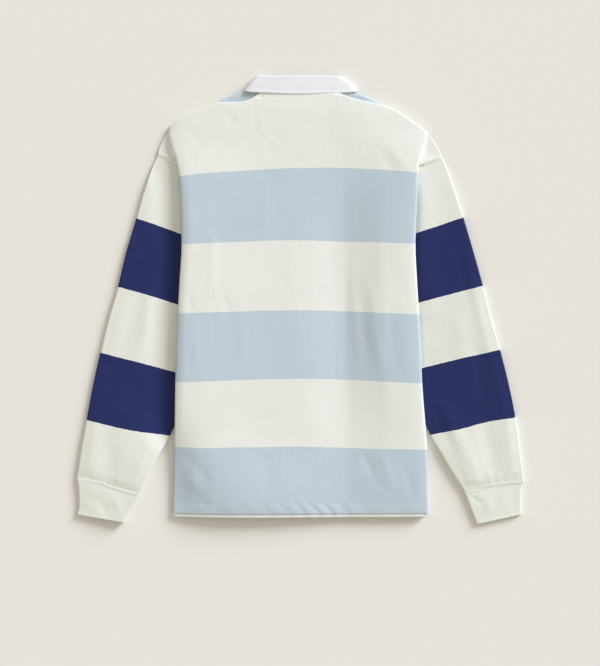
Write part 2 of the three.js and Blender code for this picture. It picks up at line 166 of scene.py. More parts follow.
# %% [markdown]
# A sheet of cloth is a grid of points on its middle surface. To become a wall, the grid is copied
# half a thickness up and half a thickness down, and the rim between the copies is rounded with
# one more row, because a cut or folded edge of cloth is never sharp. Building the wall this way,
# and not with a modifier, keeps the rim's row under our control.

# %% From a grid to a wall of cloth
def wall(name, grid, cloth_uv, thickness, closed=False, keep=None):
    """A closed wall from rows of points. cloth_uv: each point's place in the cut cloth. All mm."""
    grid = np.asarray(grid, float)
    rows, columns = grid.shape[:2]
    number = np.arange(rows * columns).reshape(rows, columns)
    right = np.roll(number, -1, axis=1) if closed else number[:, 1:]
    left = number if closed else number[:, :-1]
    quads = np.stack([left[:-1], right[:-1], right[1:], left[1:]], axis=-1)
    if keep is not None:
        quads = quads[keep]
    quads = quads.reshape(-1, 4)
    points = grid.reshape(-1, 3)
    normal = np.zeros_like(points)
    cross = np.cross(points[quads[:, 2]] - points[quads[:, 0]],
                     points[quads[:, 3]] - points[quads[:, 1]])
    for corner in range(4):
        np.add.at(normal, quads[:, corner], cross)
    normal /= np.maximum(np.linalg.norm(normal, axis=1, keepdims=True), 1e-9)

    edge = np.concatenate([quads[:, [i, (i + 1) % 4]] for i in range(4)])
    key = edge[:, 0] * (rows * columns) + edge[:, 1]
    back_key = edge[:, 1] * (rows * columns) + edge[:, 0]
    rim = edge[~np.isin(key, back_key)]
    out = np.zeros_like(points)
    sideways = np.cross(points[rim[:, 1]] - points[rim[:, 0]], normal[rim[:, 0]])
    sideways /= np.maximum(np.linalg.norm(sideways, axis=1, keepdims=True), 1e-9)
    for end in range(2):
        np.add.at(out, rim[:, end], sideways)
    out /= np.maximum(np.linalg.norm(out, axis=1, keepdims=True), 1e-9)

    half = thickness / 2
    size = len(points)
    corners = np.concatenate(
        [points + normal * half, points - normal * half, points + out * half * 0.8])
    faces = np.concatenate([
        quads,
        quads[:, ::-1] + size,
        np.stack([rim[:, 1], rim[:, 0], rim[:, 0] + 2 * size, rim[:, 1] + 2 * size], axis=-1),
        np.stack([rim[:, 1] + 2 * size, rim[:, 0] + 2 * size, rim[:, 0] + size,
                  rim[:, 1] + size], axis=-1),
    ])
    used = np.unique(faces)
    renumber = np.zeros(3 * size, int)
    renumber[used] = np.arange(len(used))
    corners = (corners[used] - (*CENTRE_SHIFT, 0)) / 1000

    mesh = bpy.data.meshes.new(name)
    mesh.from_pydata(corners.tolist(), [], renumber[faces].tolist())
    places = np.tile(np.asarray(cloth_uv, float).reshape(-1, 2), (3, 1))
    layer = mesh.uv_layers.new(name="cloth")
    layer.data.foreach_set("uv", (places[faces.reshape(-1)] / 1000).ravel())
    mesh.polygons.foreach_set("use_smooth", [True] * len(mesh.polygons))
    mesh.update()
    piece = bpy.data.objects.new(name, mesh)
    scene.collection.objects.link(piece)
    print(f"{name}: {2 * len(faces)} triangles")
    return piece

# %% [markdown]
# Soft folds are what makes cloth look like cloth. Each one is a line drawn across the
# piece, with a width and a height that swell and fade along it. Added up, they lift or lower the
# wall by a millimetre or two. No two lines are alike in length, depth or spacing.

# %% Soft folds drawn one by one
def folds(x, y, table):
    """Height added at each point by lines of (points, width, height), all in mm."""
    total = np.zeros(np.broadcast(x, y).shape)
    for k, (line, width, height) in enumerate(table):
        line = np.array(line, float)
        run = np.linalg.norm(np.diff(line, axis=0), axis=1)
        whole, before = run.sum(), 0.0
        near = np.full(total.shape, 1e9)
        along = np.zeros(total.shape)
        for (ax, ay), (bx, by), length in zip(line[:-1], line[1:], run):
            ux, uy = (bx - ax) / length, (by - ay) / length
            t = np.clip((x - ax) * ux + (y - ay) * uy, 0, length)
            away = np.hypot(x - ax - ux * t, y - ay - uy * t)
            nearer = away < near
            near = np.where(nearer, away, near)
            along = np.where(nearer, (before + t) / whole, along)
            before += length
        swell = np.sin(np.pi * np.clip(along, 0, 1)) ** 0.6
        swell = swell * (0.82 + 0.18 * np.sin(9.7 * along + 2.1 * k))
        total += height * swell * np.exp(-((near / width) ** 2))
    return total


one_fold = [([(-50, 0), (50, 0)], 12, 2)]
print("a fold 2 mm high, 10 mm away:", round(float(folds(0, 10, one_fold)), 2))

# %% [markdown]
# The body is one flattened tube: a front and a back, both folded under at the sides. The sides
# you see are folds, not seams. The side seam lies hidden 50 to 65 mm further in, and higher up
# the armhole takes its place. So each row of the grid runs: turned-under cloth, fold, flat
# panel, fold, turned-under cloth.

# %% Measured outline of the body
CLOTH = 1.5                     # thickness of the jersey in mm
LAYER = 1.8                     # one jersey and the air up to the next
HEM_DROP = 5.4                  # the front's hem shows this far below the back's
RIGHT_DROP = 3.3                # the right shoulder lies this much lower
PLACKET_HALF = 15.5             # half the width of the slot for the placket
WRAP_COLUMNS = ((-134.5, -79), (79, 143))  # where the front turns over the shoulders
LEFT_EDGE = [
    (-364.5, -216), (-300, -214), (-251, -212.5), (-142, -211), (-82, -209), (-23, -206.5),
    (35, -203.5), (91, -200.5), (160.5, -201.5), (206.5, -204.5), (232, -209), (254, -215),
    (271, -220.5), (281, -222.6), (294.5, -220.8)]
RIGHT_EDGE = [
    (-364.5, 218.5), (-300, 217), (-251, 215.5), (-142, 207.5), (-82, 205), (-23, 202),
    (35, 198.5), (91, 196), (160.5, 198.5), (211.5, 200), (232, 202), (254, 207),
    (268, 212.5), (276, 216), (288.4, 214.2)]
HEM = [
    (-216, -362.2), (-150, -363), (-60, -363.6), (0, -363.4), (70, -363.1), (150, -363),
    (218.5, -362.6)]
SHOULDERS = [
    (-220, 291), (-217, 295), (-204, 306), (-187, 313.5), (-170, 320.5), (-153, 328),
    (-134.5, 337.5), (-114, 347), (-102, 353.2), (-90, 353.7), (-79, 356),
    (79, 354.2), (90, 351.6), (99, 350.4), (112, 346), (126, 339), (143, 330.5), (156.5, 323),
    (170, 315.5), (187, 303.5), (200.5, 294), (211, 288), (214, 285)]
FRONT_TOP = SHOULDERS[:11] + [
    (-63, 318), (-50, 303), (-30, 288), (-15.5, 281.5), (0, 281), (15.5, 281.5), (30, 288),
    (50, 303), (63, 318)] + SHOULDERS[11:]
BACK_TOP = SHOULDERS[:6] + [
    (-134.5, 334.4), (-114, 333.4), (-102, 334.4), (-90, 337), (-79, 342.2), (-63, 352.2),
    (-50, 355), (0, 355.2), (50, 355), (63, 351.6), (79, 344.4), (90, 340.4), (99, 338.2),
    (112, 335.2), (126, 332), (143, 327.9)] + SHOULDERS[17:]
# Rows up the side: height on the fold, end of the turned-under cloth (x, y), and how far the
# sleeve and the turned-under cloth lift the body there
ROWS = [
    (-364.5, -167, -362, 0, 1), (-328, -164.5, -328, 0, 1), (-290, -162, -290, 0.6, 1),
    (-250, -159.5, -250, 1, 1), (-205, -156, -205, 1, 1), (-160, -152, -160, 1, 1),
    (-115, -148, -115, 1, 1), (-70, -144, -70, 1, 1), (-25, -140.5, -22, 1, 1),
    (22, -138, 26, 1, 1), (70, -141.2, 73, 1, 1), (100, -144, 102, 1, 1),
    (125, -148.5, 126, 1, 1), (150, -153.8, 150, 1, 1), (172, -159.8, 173, 1, 1),
    (190, -166.5, 191, 1, 1), (204, -172.5, 206, 1, 1), (215, -181, 219.8, 1, 1),
    (224, -194.5, 226, 1, 1), (232, -209, 233.2, 1, 1), (238, -222, 238.9, 1, 1),
    (243, -233, 243.6, 1, 0.95), (250, -241, 247.4, 0.95, 0.85), (260, -238.5, 256.5, 0.75, 0.65),
    (270, -233.7, 267, 0.4, 0.35), (281, -229.2, 275.2, 0.15, 0.1), (294.5, -225.2, 282.3, 0, 0)]
STRIP = [
    (224, 4.35), (232, 4.35), (238, 4.2), (243, 3.5), (250, 2.6), (260, 2.4), (270, 2.3),
    (281, 2.35), (294.5, 2.45)]
RIGHT_CORNER = {                # the right shoulder's own corner: seam x, seam y, fold height
    250: (240.5, 244.6, 246.5), 260: (236.2, 252.5, 256), 270: (231, 262.5, 265),
    281: (224.9, 272, 276), 294.5: (220.6, 278, 288.4)}


def of_rows(column):
    return [(row[0], row[column]) for row in ROWS]


def right_rows(column):
    """The right side is the left one mirrored, a little lower at the shoulder."""
    table = []
    for row in ROWS:
        lower = RIGHT_DROP * ease((row[0] - 130) / 90)
        own = RIGHT_CORNER.get(row[0])
        mirrored = (-row[1], row[2] - lower, row[0] - lower)
        table.append((row[0], float((own or mirrored)[column])))
    return table


chest = float(curve(RIGHT_EDGE, 100) - curve(LEFT_EDGE, 100))
print("width that shows at the chest in mm:", round(chest))

# %% [markdown]
# Stripes are knitted, so they follow the cloth and not the table. Each point of a panel carries
# its place in the cut cloth as a UV value. The five lines where the colour changes were measured
# in the photograph, and between them the place runs evenly.

# %% Place of each point in the striped cloth
REPEAT = 116.3                  # height of one knitted stripe in mm
STRIPE_LINES = [                # each line as (x, y) in mm, from the hem up
    [(-212.5, -251), (-153, -253), (-68, -251.5), (0, -251), (102, -254), (214, -256)],
    [(-211, -141.5), (0, -135.5), (206.5, -143)],
    [(-206.5, -24), (0, -19), (202.5, -25.5)],
    [(-201, 90), (-126, 93.5), (-12, 97), (102, 94), (197, 91.5)],
    [(-204.5, 205.5), (-153, 211.5), (-102, 214.5), (-51, 218), (0, 220), (51, 220.5),
     (102, 219), (153, 216), (200, 211.5)]]
LOWEST_LINE = -251.9            # place of the first line in the cut cloth
NECK_LINE = 356                 # height of the panels' top edge on the table
BACK_END, FRONT_END = 328, 345  # place of that edge in the back's and in the front's cut cloth


def cloth_height(x, y, top, top_place):
    """Height in the cut cloth of points that lie at x, y on the table."""
    x, y = np.broadcast_arrays(np.asarray(x, float), np.asarray(y, float))
    lines = [curve(line, x) for line in STRIPE_LINES]
    places = [LOWEST_LINE + k * REPEAT for k in range(len(lines))]
    lines = [lines[0] - REPEAT, *lines, top]
    places = [places[0] - REPEAT, *places, top_place]
    place = np.where(y < lines[0], places[0] + y - lines[0], 0.0)
    for k in range(len(lines) - 1):
        inside = (y >= lines[k]) & ((y < lines[k + 1]) | (k == len(lines) - 2))
        t = (y - lines[k]) / np.maximum(lines[k + 1] - lines[k], 1)
        place = np.where(inside, places[k] + t * (places[k + 1] - places[k]), place)
    return place


print("place in the cloth at the middle of the chest:",
      round(float(cloth_height(0, 150, NECK_LINE, BACK_END)), 1))

# %% [markdown]
# A shirt on a table is never pressed flat. The back stands on the front, on the sleeves tucked
# under its sides, and on the air between them. Its relief was read off the light and shade in
# the photograph: high over the sleeves, a long shallow trough right of the middle, and a soft
# fall towards the shoulders and the hem. A table of heights holds those wide forms, and a second
# one the narrow creases.

# %% Relief of the back
# Places across, as shares of the way from the middle to each side's fold
ACROSS = (-1, -0.93, -0.82, -0.66, -0.5, -0.22, 0, 0.1, 0.2, 0.29, 0.37, 0.48, 0.6, 0.72,
          0.92, 1)
# Height of the back's cloth in mm at each of those places, from the neck down: y, heights
RELIEF = [
    (356, (6.8, 7.2, 8, 8.7, 9.2, 9.5, 9.6, 9.6, 9.6, 9.6, 9.5, 9, 8.2, 7.2, 6.2, 5.8)),
    (325, (6.8, 7.6, 8.8, 10.4, 11.4, 12, 12.1, 12.1, 12, 11.9, 11.7, 11.2, 10.4, 9.3, 7.8,
           7.4)),
    (290, (7.2, 9.2, 11, 12.2, 12.8, 12.9, 12.8, 12.6, 12.4, 12.1, 11.9, 11.7, 11.4, 11, 9.9,
           9.4)),
    (262, (10.2, 12, 12.8, 13.3, 13.4, 13.2, 12.9, 12.6, 12.1, 11.6, 11.4, 11.6, 12.2, 13, 13.8,
           12.8)),
    (235, (13.2, 14.8, 15, 14.7, 14.3, 13.7, 13.1, 12.6, 11.9, 11.2, 10.9, 11.4, 12.6, 14, 15.8,
           15.4)),
    (205, (15.4, 17.2, 17, 16.1, 15.2, 14.1, 13.2, 12.5, 11.6, 10.7, 10.4, 11.3, 13, 15, 16.9,
           16.4)),
    (150, (17, 19.3, 18.6, 17.2, 16.1, 14.4, 13.3, 12.4, 11.1, 9.9, 9.5, 10.9, 13.3, 15.8, 17.6,
           17)),
    (90, (17.2, 19.5, 18.9, 17.5, 16.3, 14.5, 13.4, 12.4, 10.9, 9.4, 8.9, 10.8, 13.8, 16.6, 18,
          17.2)),
    (30, (17, 19.6, 19, 17.6, 16.4, 14.6, 13.5, 12.4, 10.6, 8.9, 8.2, 10.6, 14.2, 17.4, 18.4,
          17.4)),
    (-30, (16.8, 19.6, 19.1, 17.7, 16.5, 14.7, 13.6, 12.4, 10.4, 8.4, 7.5, 10.5, 14.6, 18, 18.8,
           17.6)),
    (-90, (16.6, 19.5, 19.1, 17.7, 16.5, 14.7, 13.6, 12.4, 10.4, 8.5, 7.6, 10.4, 14.4, 17.6, 18.4,
           17.2)),
    (-150, (16, 19, 18.9, 17.6, 16.4, 14.6, 13.5, 12.5, 10.8, 9.1, 8.4, 10.6, 13.8, 16.6, 17.6,
            16.6)),
    (-210, (14.4, 17.4, 18.2, 17.4, 16.3, 14.6, 13.5, 12.7, 11.2, 9.8, 9.2, 10.8, 13.2, 15.4, 16.6,
            15.8)),
    (-265, (9, 12.8, 16.8, 18.3, 18, 15.6, 14, 13.1, 11.7, 10.5, 10, 11.2, 13, 14.6, 15.6,
            14.8)),
    (-310, (6.4, 9.6, 15, 18.4, 19, 17, 14.8, 13.5, 12.2, 11, 10.5, 11.4, 12.8, 13.8, 14.2,
            13.2)),
    (-345, (6.2, 8.2, 12.4, 16.8, 18.2, 16.8, 14.6, 13.1, 11.8, 10.8, 10.3, 10.8, 11.6, 12, 11.8,
            10.6)),
    (-372, (6.2, 7.6, 10.8, 14, 15, 14.2, 12.8, 11.8, 10.9, 10.1, 9.6, 9.6, 9.7, 9.5, 8.8,
            7.8))]


def relief(share, y):
    """Height of the back's cloth at shares across and heights up, smooth in both directions."""
    share, y = np.broadcast_arrays(np.asarray(share, float), np.asarray(y, float))
    ys = np.array([row[0] for row in RELIEF][::-1], float)
    lines = np.stack([curve(list(zip(ACROSS, row[1])), share) for row in RELIEF[::-1]])
    y = np.clip(y, ys[0], ys[-1])
    k = np.clip(np.searchsorted(ys, y) - 1, 0, len(ys) - 2)
    t = (y - ys[k]) / (ys[k + 1] - ys[k])
    last = len(ys) - 1

    def line(i):
        return np.take_along_axis(lines, i[None], axis=0)[0]

    def slope(i):
        low, high = np.maximum(i - 1, 0), np.minimum(i + 1, last)
        return (line(high) - line(low)) / (ys[high] - ys[low])

    step = ys[k + 1] - ys[k]
    return (line(k) * (1 + 2 * t) * (1 - t) ** 2 + line(k + 1) * t * t * (3 - 2 * t)
            + step * (slope(k) * t * (1 - t) ** 2 - slope(k + 1) * t * t * (1 - t)))


BACK_FOLDS = [
    ([(124, 24), (127, -40), (137, -124)], 8, 1.0),
    ([(106, 20), (109, -50), (116, -124)], 8, -0.8),
    ([(152, -10), (158, -80), (168, -128)], 6, -0.3),
    ([(172, 10), (178, -70), (180, -130)], 7, 0.35),
    ([(88, 70), (90, 0), (92, -70)], 6, 0.4),
    ([(104, -256), (122, -290), (134, -318)], 6, -0.9),
    ([(132, -252), (148, -290), (162, -330)], 7, 0.8),
    ([(170, -262), (184, -300), (196, -345)], 7, -0.5),
    ([(150, 262), (168, 238), (188, 214)], 8, 0.7),
    ([(132, 262), (150, 232), (166, 204)], 7, -0.45),
    ([(-128, 318), (-114, 304), (-104, 296)], 5, -0.7),
    ([(-112, 338), (-106, 320), (-108, 300)], 6, 0.5),
    ([(-196, 292), (-178, 280), (-168, 262)], 7, -0.6),
    ([(-190, 20), (-186, -6), (-182, -30)], 8, -0.8),
    ([(-132, 8), (-122, -14), (-114, -44)], 7, -0.7),
    ([(-150, 120), (-146, 60), (-148, 4)], 9, 0.7),
    ([(-174, -30), (-172, -76), (-176, -128)], 7, 0.5),
    ([(-100, -30), (-96, -74), (-98, -126)], 8, 0.45),
    ([(-196, -262), (-174, -282), (-150, -312)], 8, -0.9),
    ([(-200, -292), (-180, -312), (-160, -344)], 7, 0.8),
    ([(-184, -316), (-166, -338), (-152, -356)], 6, -0.7),
    ([(-60, -256), (-52, -296), (-58, -330)], 9, -0.5),
    ([(-66, 212), (-58, 150), (-62, 96)], 12, 0.5),
    ([(-20, 90), (-10, 20), (-14, -60)], 12, 0.35),
]
# Puckers of the hem's sewing: x where it meets the stitches, lean, half width, height
PUCKERS = [
    (-196, 0.5, 5, 0.35), (-170, 0.3, 7, 0.45), (-143, 0.6, 4.5, -0.45), (-118, 0.4, 6, 0.5),
    (-97, 0.7, 4, -0.5), (-80, 0.5, 5, 0.5), (-61, 0.8, 3.5, -0.6), (-46, 0.6, 5, 0.6),
    (-29, 0.9, 3.4, -0.7), (-14, 0.6, 4.5, 0.7), (-2, 0.9, 3.2, -0.9), (9, 0.7, 4, 0.9),
    (21, 1.0, 3, -1.0), (32, 0.8, 3.8, 0.9), (44, 0.9, 3, -1.1), (56, 0.7, 4.2, 0.9),
    (70, 1.0, 3.2, -0.9), (86, 0.6, 6, 0.5), (108, 0.5, 5, -0.4), (136, 0.5, 7, 0.4),
    (163, 0.4, 5, -0.35), (190, 0.5, 6, 0.4)]
WRAP_FOLDS = [                  # the front's cloth where it comes over the shoulders
    ([(77, 353), (98, 347.4), (121, 342), (134, 338)], 4, 1.3),
    ([(-124, 337), (-106, 343), (-94, 349.5)], 3, 0.6),
    ([(-104, 338), (-92, 342), (-82, 350)], 2.6, 0.7),
    ([(-114, 337), (-100, 341.5), (-88, 350)], 2.4, -0.4)]
HEM_DENTS = (-348.2, -354.2)    # where the hem's two rows of stitches draw the cloth in


def puckers(x, y):
    total = np.zeros(np.broadcast(x, y).shape)
    for at, lean, half, height in PUCKERS:
        total += height * np.exp(-(((x - at + lean * (y + 350)) / half) ** 2))
    return 0.5 * total * np.exp(-((np.maximum(y + 352, 0) / 8) ** 2))


print("back's height in the middle of the chest:", round(float(relief(0.0, 150.0)), 1), "mm")

# %% [markdown]
# Both panels of the body come from one function, because the front lies inside the back like one
# letter C inside another. It walks up the rows, places the two folds, runs a smooth grid between
# them, and hangs the turned-under cloth on the outside of each fold.

# %% The body's grid
SPACING = 4.2                   # mm between points of the grid
TURN = 8                        # points round a side fold
UNDER = 12                      # points across the turned-under cloth
STRAIGHT = 55                   # columns this near the middle run straight up
FRONT_BELOW = 1.7               # the front's middle surface lies this far below the back's


def side_of(edges, way):
    """Fold, seam and heights of one side, for every row at once."""
    seam_x = curve(of_rows(1), edges) if way < 0 else curve(right_rows(0), edges)
    seam_y = curve(of_rows(2), edges) if way < 0 else curve(right_rows(1), edges)
    y = edges if way < 0 else curve(right_rows(2), edges)
    x = curve(LEFT_EDGE if way < 0 else RIGHT_EDGE, y)
    return x, y, seam_x, seam_y


def body_grid(side, spacing):
    """Points of one panel on a rectangular grid, with the columns' places on the shoulder."""
    back = side == "back"
    edges = np.concatenate([
        np.linspace(-362.4, -340, 22 if back else 8)[:-1],
        np.linspace(-340, 282, int(622 / spacing)), np.linspace(282, 292.8, 10)[1:],
        [293.6, 294.2, 294.5]])
    sleeve, under = curve(of_rows(3), edges), curve(of_rows(4), edges)
    corner = edges > 224
    flat = CLOTH / 2 + 2 * LAYER * sleeve + (not back) * LAYER
    low = np.where(corner, curve(STRIP, edges), flat)
    lean = ease((241 - edges) / 9)
    ends = [side_of(edges, -1), side_of(edges, 1)]
    inner = 2.7 + 0.9 * ease((300 - edges) / 60)   # the front's folds lie this far inside
    radius = [inner * 0.8, inner * 0.34] if back else [inner, inner]
    centres = [ends[0][0] + radius[0] + CLOTH / 2, ends[1][0] - radius[1] - CLOTH / 2]

    tops = np.linspace(centres[0][-1], centres[1][-1], int(440 / spacing))
    for mark in (*WRAP_COLUMNS[0], -PLACKET_HALF, PLACKET_HALF, *WRAP_COLUMNS[1]):
        tops[np.argmin(np.abs(tops - mark))] = mark
    reach = np.abs(tops) > STRAIGHT
    sign = np.sign(tops)
    start = np.where(tops < 0, centres[0][-1], centres[1][-1])
    here = np.where(tops < 0, centres[0][:, None], centres[1][:, None])
    last = sign * STRAIGHT
    x = np.where(reach, last + (tops - last) * (here - last) / (start - last), tops)

    shares = []
    for fold in ends:
        lowest = curve(HEM, fold[0])
        shares.append((fold[1] - lowest) / (fold[1][-1] - lowest))
    across = np.linspace(0, 1, len(tops))
    v = mix(shares[0][:, None], shares[1][:, None], across)
    lowest, fold_line = curve(HEM, x), curve(SHOULDERS, tops)
    own = curve(BACK_TOP if back else FRONT_TOP, tops)
    knee = fold_line - 45 if back else np.where(np.abs(tops) > 70, fold_line - 45, 236)
    y = lowest + v * (fold_line - lowest)
    y = np.where(y > knee, knee + (y - knee) * (own - knee) / (fold_line - knee), y)
    y[:, 0], y[:, -1] = ends[0][1], ends[1][1]
    if not back:                # the front's hem shows below the back's
        y[1] = y[0] + 0.4
        y[0] -= HEM_DROP

    past = np.abs(np.where(x < 0, ends[0][2][:, None], ends[1][2][:, None])) - np.abs(x)
    flat_side = 1 - ease((past - 5) / 60)
    leaf = LAYER * ease((y - 196) / 44) * ease((148 - np.abs(x)) / 34)
    lift = 2 * LAYER * (sleeve + under)[:, None]
    z = CLOTH / 2 + lift * flat_side + leaf
    fold_x = np.where(x < 0, -ends[0][0][:, None], ends[1][0][:, None])
    wide_form = relief(np.clip(x / fold_x, -1, 1), y)
    if back:
        calm = ease((own - y) / 30)
        full = wide_form + folds(x, y, BACK_FOLDS) * calm + puckers(x, y)
        over_wrap = ease((np.abs(tops) - 60) / 14) * ease((146 - np.abs(tops)) / 6)
        at_fold = z + LAYER + 2.4 * over_wrap
        to_edge = np.clip(1 - (own - y) / 0.3, 0, 1)
        rounded = np.sqrt(1 - to_edge ** 2)
        neck = ease((66 - np.abs(tops)) / 8)
        z = np.where(neck > 0.5, full, mix(at_fold, full, rounded))
        hem_edge = np.clip(1 - (y - y[0]) / 3.5, 0, 1)
        z = z - 0.15 * hem_edge ** 2
        for dent in HEM_DENTS:
            z = z - 0.08 * np.exp(-(((y - dent) / 1.1) ** 2))
    else:
        under_back = wide_form + puckers(x, y) - FRONT_BELOW
        z = mix(z, np.maximum(z, under_back), ease((-280 - y) / 72))
        z[0] = z[1] + 1.5       # its edge curls up a little
    grid = np.stack([x, y, z], axis=-1)

    sides = []
    for way, (_, fold_y, seam_x, seam_y), centre, k in (
            (-1, ends[0], centres[0], 0), (1, ends[1], centres[1], -1)):
        high = z[:, k]
        stretch = np.abs(seam_x - centre) * (0.22 if back and way > 0 else 0.35)
        bulge = np.minimum((2 / 3) * (high - low), 1.6) * lean + stretch * 0.5 * (1 - lean)
        if back:                # keep the silhouette where the photograph has it
            bulge = (4 / 3) * radius[k] * lean + stretch * 0.5 * (1 - lean)
        end = stretch * (1 - lean)
        turn = []
        for t in np.linspace(0, 1, TURN + 2)[1:-1]:
            a, b, c = 3 * t * (1 - t) ** 2, 3 * t * t * (1 - t), t ** 3
            turn.append(np.stack([
                centre + way * (a * bulge + b * mix(end * 0.6, bulge, lean) + c * end),
                fold_y, high * (1 - t) ** 3 + high * a + low * b + low * c], axis=-1))
        out = centre + way * end
        for t in np.linspace(0, 1, UNDER):
            turn.append(np.stack([mix(out, seam_x, t), mix(fold_y, seam_y, t), low], axis=-1))
        sides.append(np.stack(turn, axis=1))
    whole = np.concatenate([sides[0][:, ::-1], grid, sides[1]], axis=1)
    first = sides[0].shape[1]
    if not back:
        whole[0, :first, 1] = whole[1, :first, 1] - (whole[2, :first, 1] - whole[1, :first, 1])
        whole[0, -first:, 1] = whole[1, -first:, 1] - (whole[2, -first:, 1] - whole[1, -first:, 1])
    return whole, tops, first, edges


def body_places(whole, top, top_place, first):
    """Place of each point in the cut cloth, measured along the rows past the folds."""
    x = whole[:, :, 0].copy()
    length = np.linalg.norm(np.diff(whole, axis=1), axis=2)
    for c in range(first - 1, -1, -1):
        x[:, c] = x[:, c + 1] - length[:, c]
    for c in range(x.shape[1] - first, x.shape[1]):
        x[:, c] = x[:, c - 1] + length[:, c - 1]
    return np.stack([x, cloth_height(whole[:, :, 0], whole[:, :, 1], top, top_place)], axis=-1)


# %% [markdown]
# The back is the piece that shows. It starts at the hem, folds under at both sides, and ends on
# the shoulders and at the neck. Its grid is fine enough to carry the puckers of the hem.

# %% Back panel
back_grid, _, back_first, _ = body_grid("back", SPACING)
back_places = body_places(back_grid, NECK_LINE, BACK_END, back_first)
back_piece = wall("back_jersey", back_grid, back_places, CLOTH)
print("back's heights in mm:", round(float(back_grid[..., 2].min()), 1), "to",
      round(float(back_grid[..., 2].max()), 1))

# %% [markdown]
# The front lies under the back. Its chest is cut out for the neck and the placket, and next to
# the collar it turns over the shoulder and shows on the back as two pale blue corners. So its
# grid gets a few more rows there, which run round the shoulder's fold and down to the seam.

# %% Front panel
WRAP_RADIUS = 1.7               # of the front's bend over the shoulders, in mm
OFF_TOP = 500                   # stands for a place beyond the edge of the panel's top
front_grid, front_tops, front_first, front_edges = body_grid("front", 5.2)
rows, columns = front_grid.shape[:2]
far_out = np.full(front_first, OFF_TOP)   # marks the turned-under columns
at = np.concatenate([-far_out, front_tops, far_out])
wrap = np.zeros(columns, bool)
for low, high in WRAP_COLUMNS:
    wrap |= (at >= low) & (at <= high)
before, after = curve(SHOULDERS, at - 6), curve(SHOULDERS, at + 6)
run = np.hypot(12, after - before)
out_x, out_y = (before - after) / run, 12 / run
for back_off, share in ((1, 1.0), (2, 0.55), (3, 0.2)):   # the last rows make room for the bend
    inset = (WRAP_RADIUS + CLOTH / 2) * share * wrap
    front_grid[-back_off, :, 0] -= out_x * inset
    front_grid[-back_off, :, 1] -= out_y * inset
start = front_grid[-1]
extra = []
for turn in np.radians(np.linspace(0, 180, 9))[1:]:
    reach = WRAP_RADIUS * np.sin(turn)
    extra.append(np.stack([start[:, 0] + out_x * reach, start[:, 1] + out_y * reach,
                           start[:, 2] + WRAP_RADIUS * (1 - np.cos(turn))], axis=-1))
# The corners end under the back's edge and, nearest the neck, under the collar
end_x = np.where(np.abs(at) < 90, np.sign(at) * (63.4 + (np.abs(at) - 79) * 26.6 / 11), at)
end_y = curve(BACK_TOP, end_x) - 1.2
for t in np.linspace(0, 1, 12)[1:]:
    here_x, here_y = mix(start[:, 0], end_x, t), mix(start[:, 1], end_y, t)
    rise = 0.3 * np.sin(np.pi * t) + folds(here_x, here_y, WRAP_FOLDS) * np.sin(np.pi * t) ** 0.5
    extra.append(np.stack([here_x, here_y, start[:, 2] + 2 * WRAP_RADIUS + rise], axis=-1))
front_grid = np.concatenate([front_grid, np.stack(extra)])
front_places = body_places(front_grid[:rows], NECK_LINE, FRONT_END, front_first)
past_fold = np.linalg.norm(np.diff(front_grid[rows - 1:], axis=0), axis=2).cumsum(axis=0)
more = np.stack([np.broadcast_to(front_places[-1, :, 0], past_fold.shape),
                 np.maximum(front_places[-1, :, 1], 332) + past_fold], axis=-1)
front_places = np.concatenate([front_places, more])

# Faces that are left out: the slot, the turned-under cloth beside the shoulders, and all past
# the shoulders' fold but the two corners that turn over
row_edge = np.concatenate([front_edges, np.full(len(extra), OFF_TOP)])[:-1]
column = 0.5 * (at[:-1] + at[1:])
slot_start = row_edge[np.searchsorted(row_edge, 70)]
keep = np.ones((len(row_edge), columns - 1), bool)
keep &= ~((row_edge[:, None] >= slot_start) & (np.abs(column) < PLACKET_HALF))
keep &= ~((row_edge[:, None] > 226) & (np.abs(column) > 300))
past_shoulder = np.arange(len(row_edge)) >= rows - 1
keep &= ~(past_shoulder[:, None] & ~(wrap[:-1] & wrap[1:] & (np.sign(at[:-1]) == np.sign(at[1:]))))
front_piece = wall("front_jersey", front_grid, front_places, CLOTH, keep=keep)

# %% [markdown]
# The placket is the buttoned strip of the neck opening. It lies face down under everything, so
# it is one plain strip of twill set into the front's slot.

# %% Placket
PLACKET_GAP = 0.4               # between the strip and the edge of its slot
middle = [int(np.argmin(np.abs(at - mark))) for mark in (-PLACKET_HALF, PLACKET_HALF)]
first_row = int(np.searchsorted(front_edges, slot_start))
strip = front_grid[first_row:rows, middle[0]:middle[1] + 1].copy()
strip[:, :, 0] *= (PLACKET_HALF - PLACKET_GAP) / PLACKET_HALF
strip[0, :, 1] += PLACKET_GAP
placket_places = strip[:, :, :2].copy()
placket_piece = wall("placket_twill", strip, placket_places, CLOTH)

# %% [markdown]
# A sleeve on the table is a tube pressed almost flat. Its two edges were measured as paths from
# the armhole to the cuff. Each row of the grid runs once round the tube: along the table, round
# the inner edge, back over the top, and round the outer edge. Where the body lies on the sleeve
# the tube is pressed flat, and beyond it fills with air.

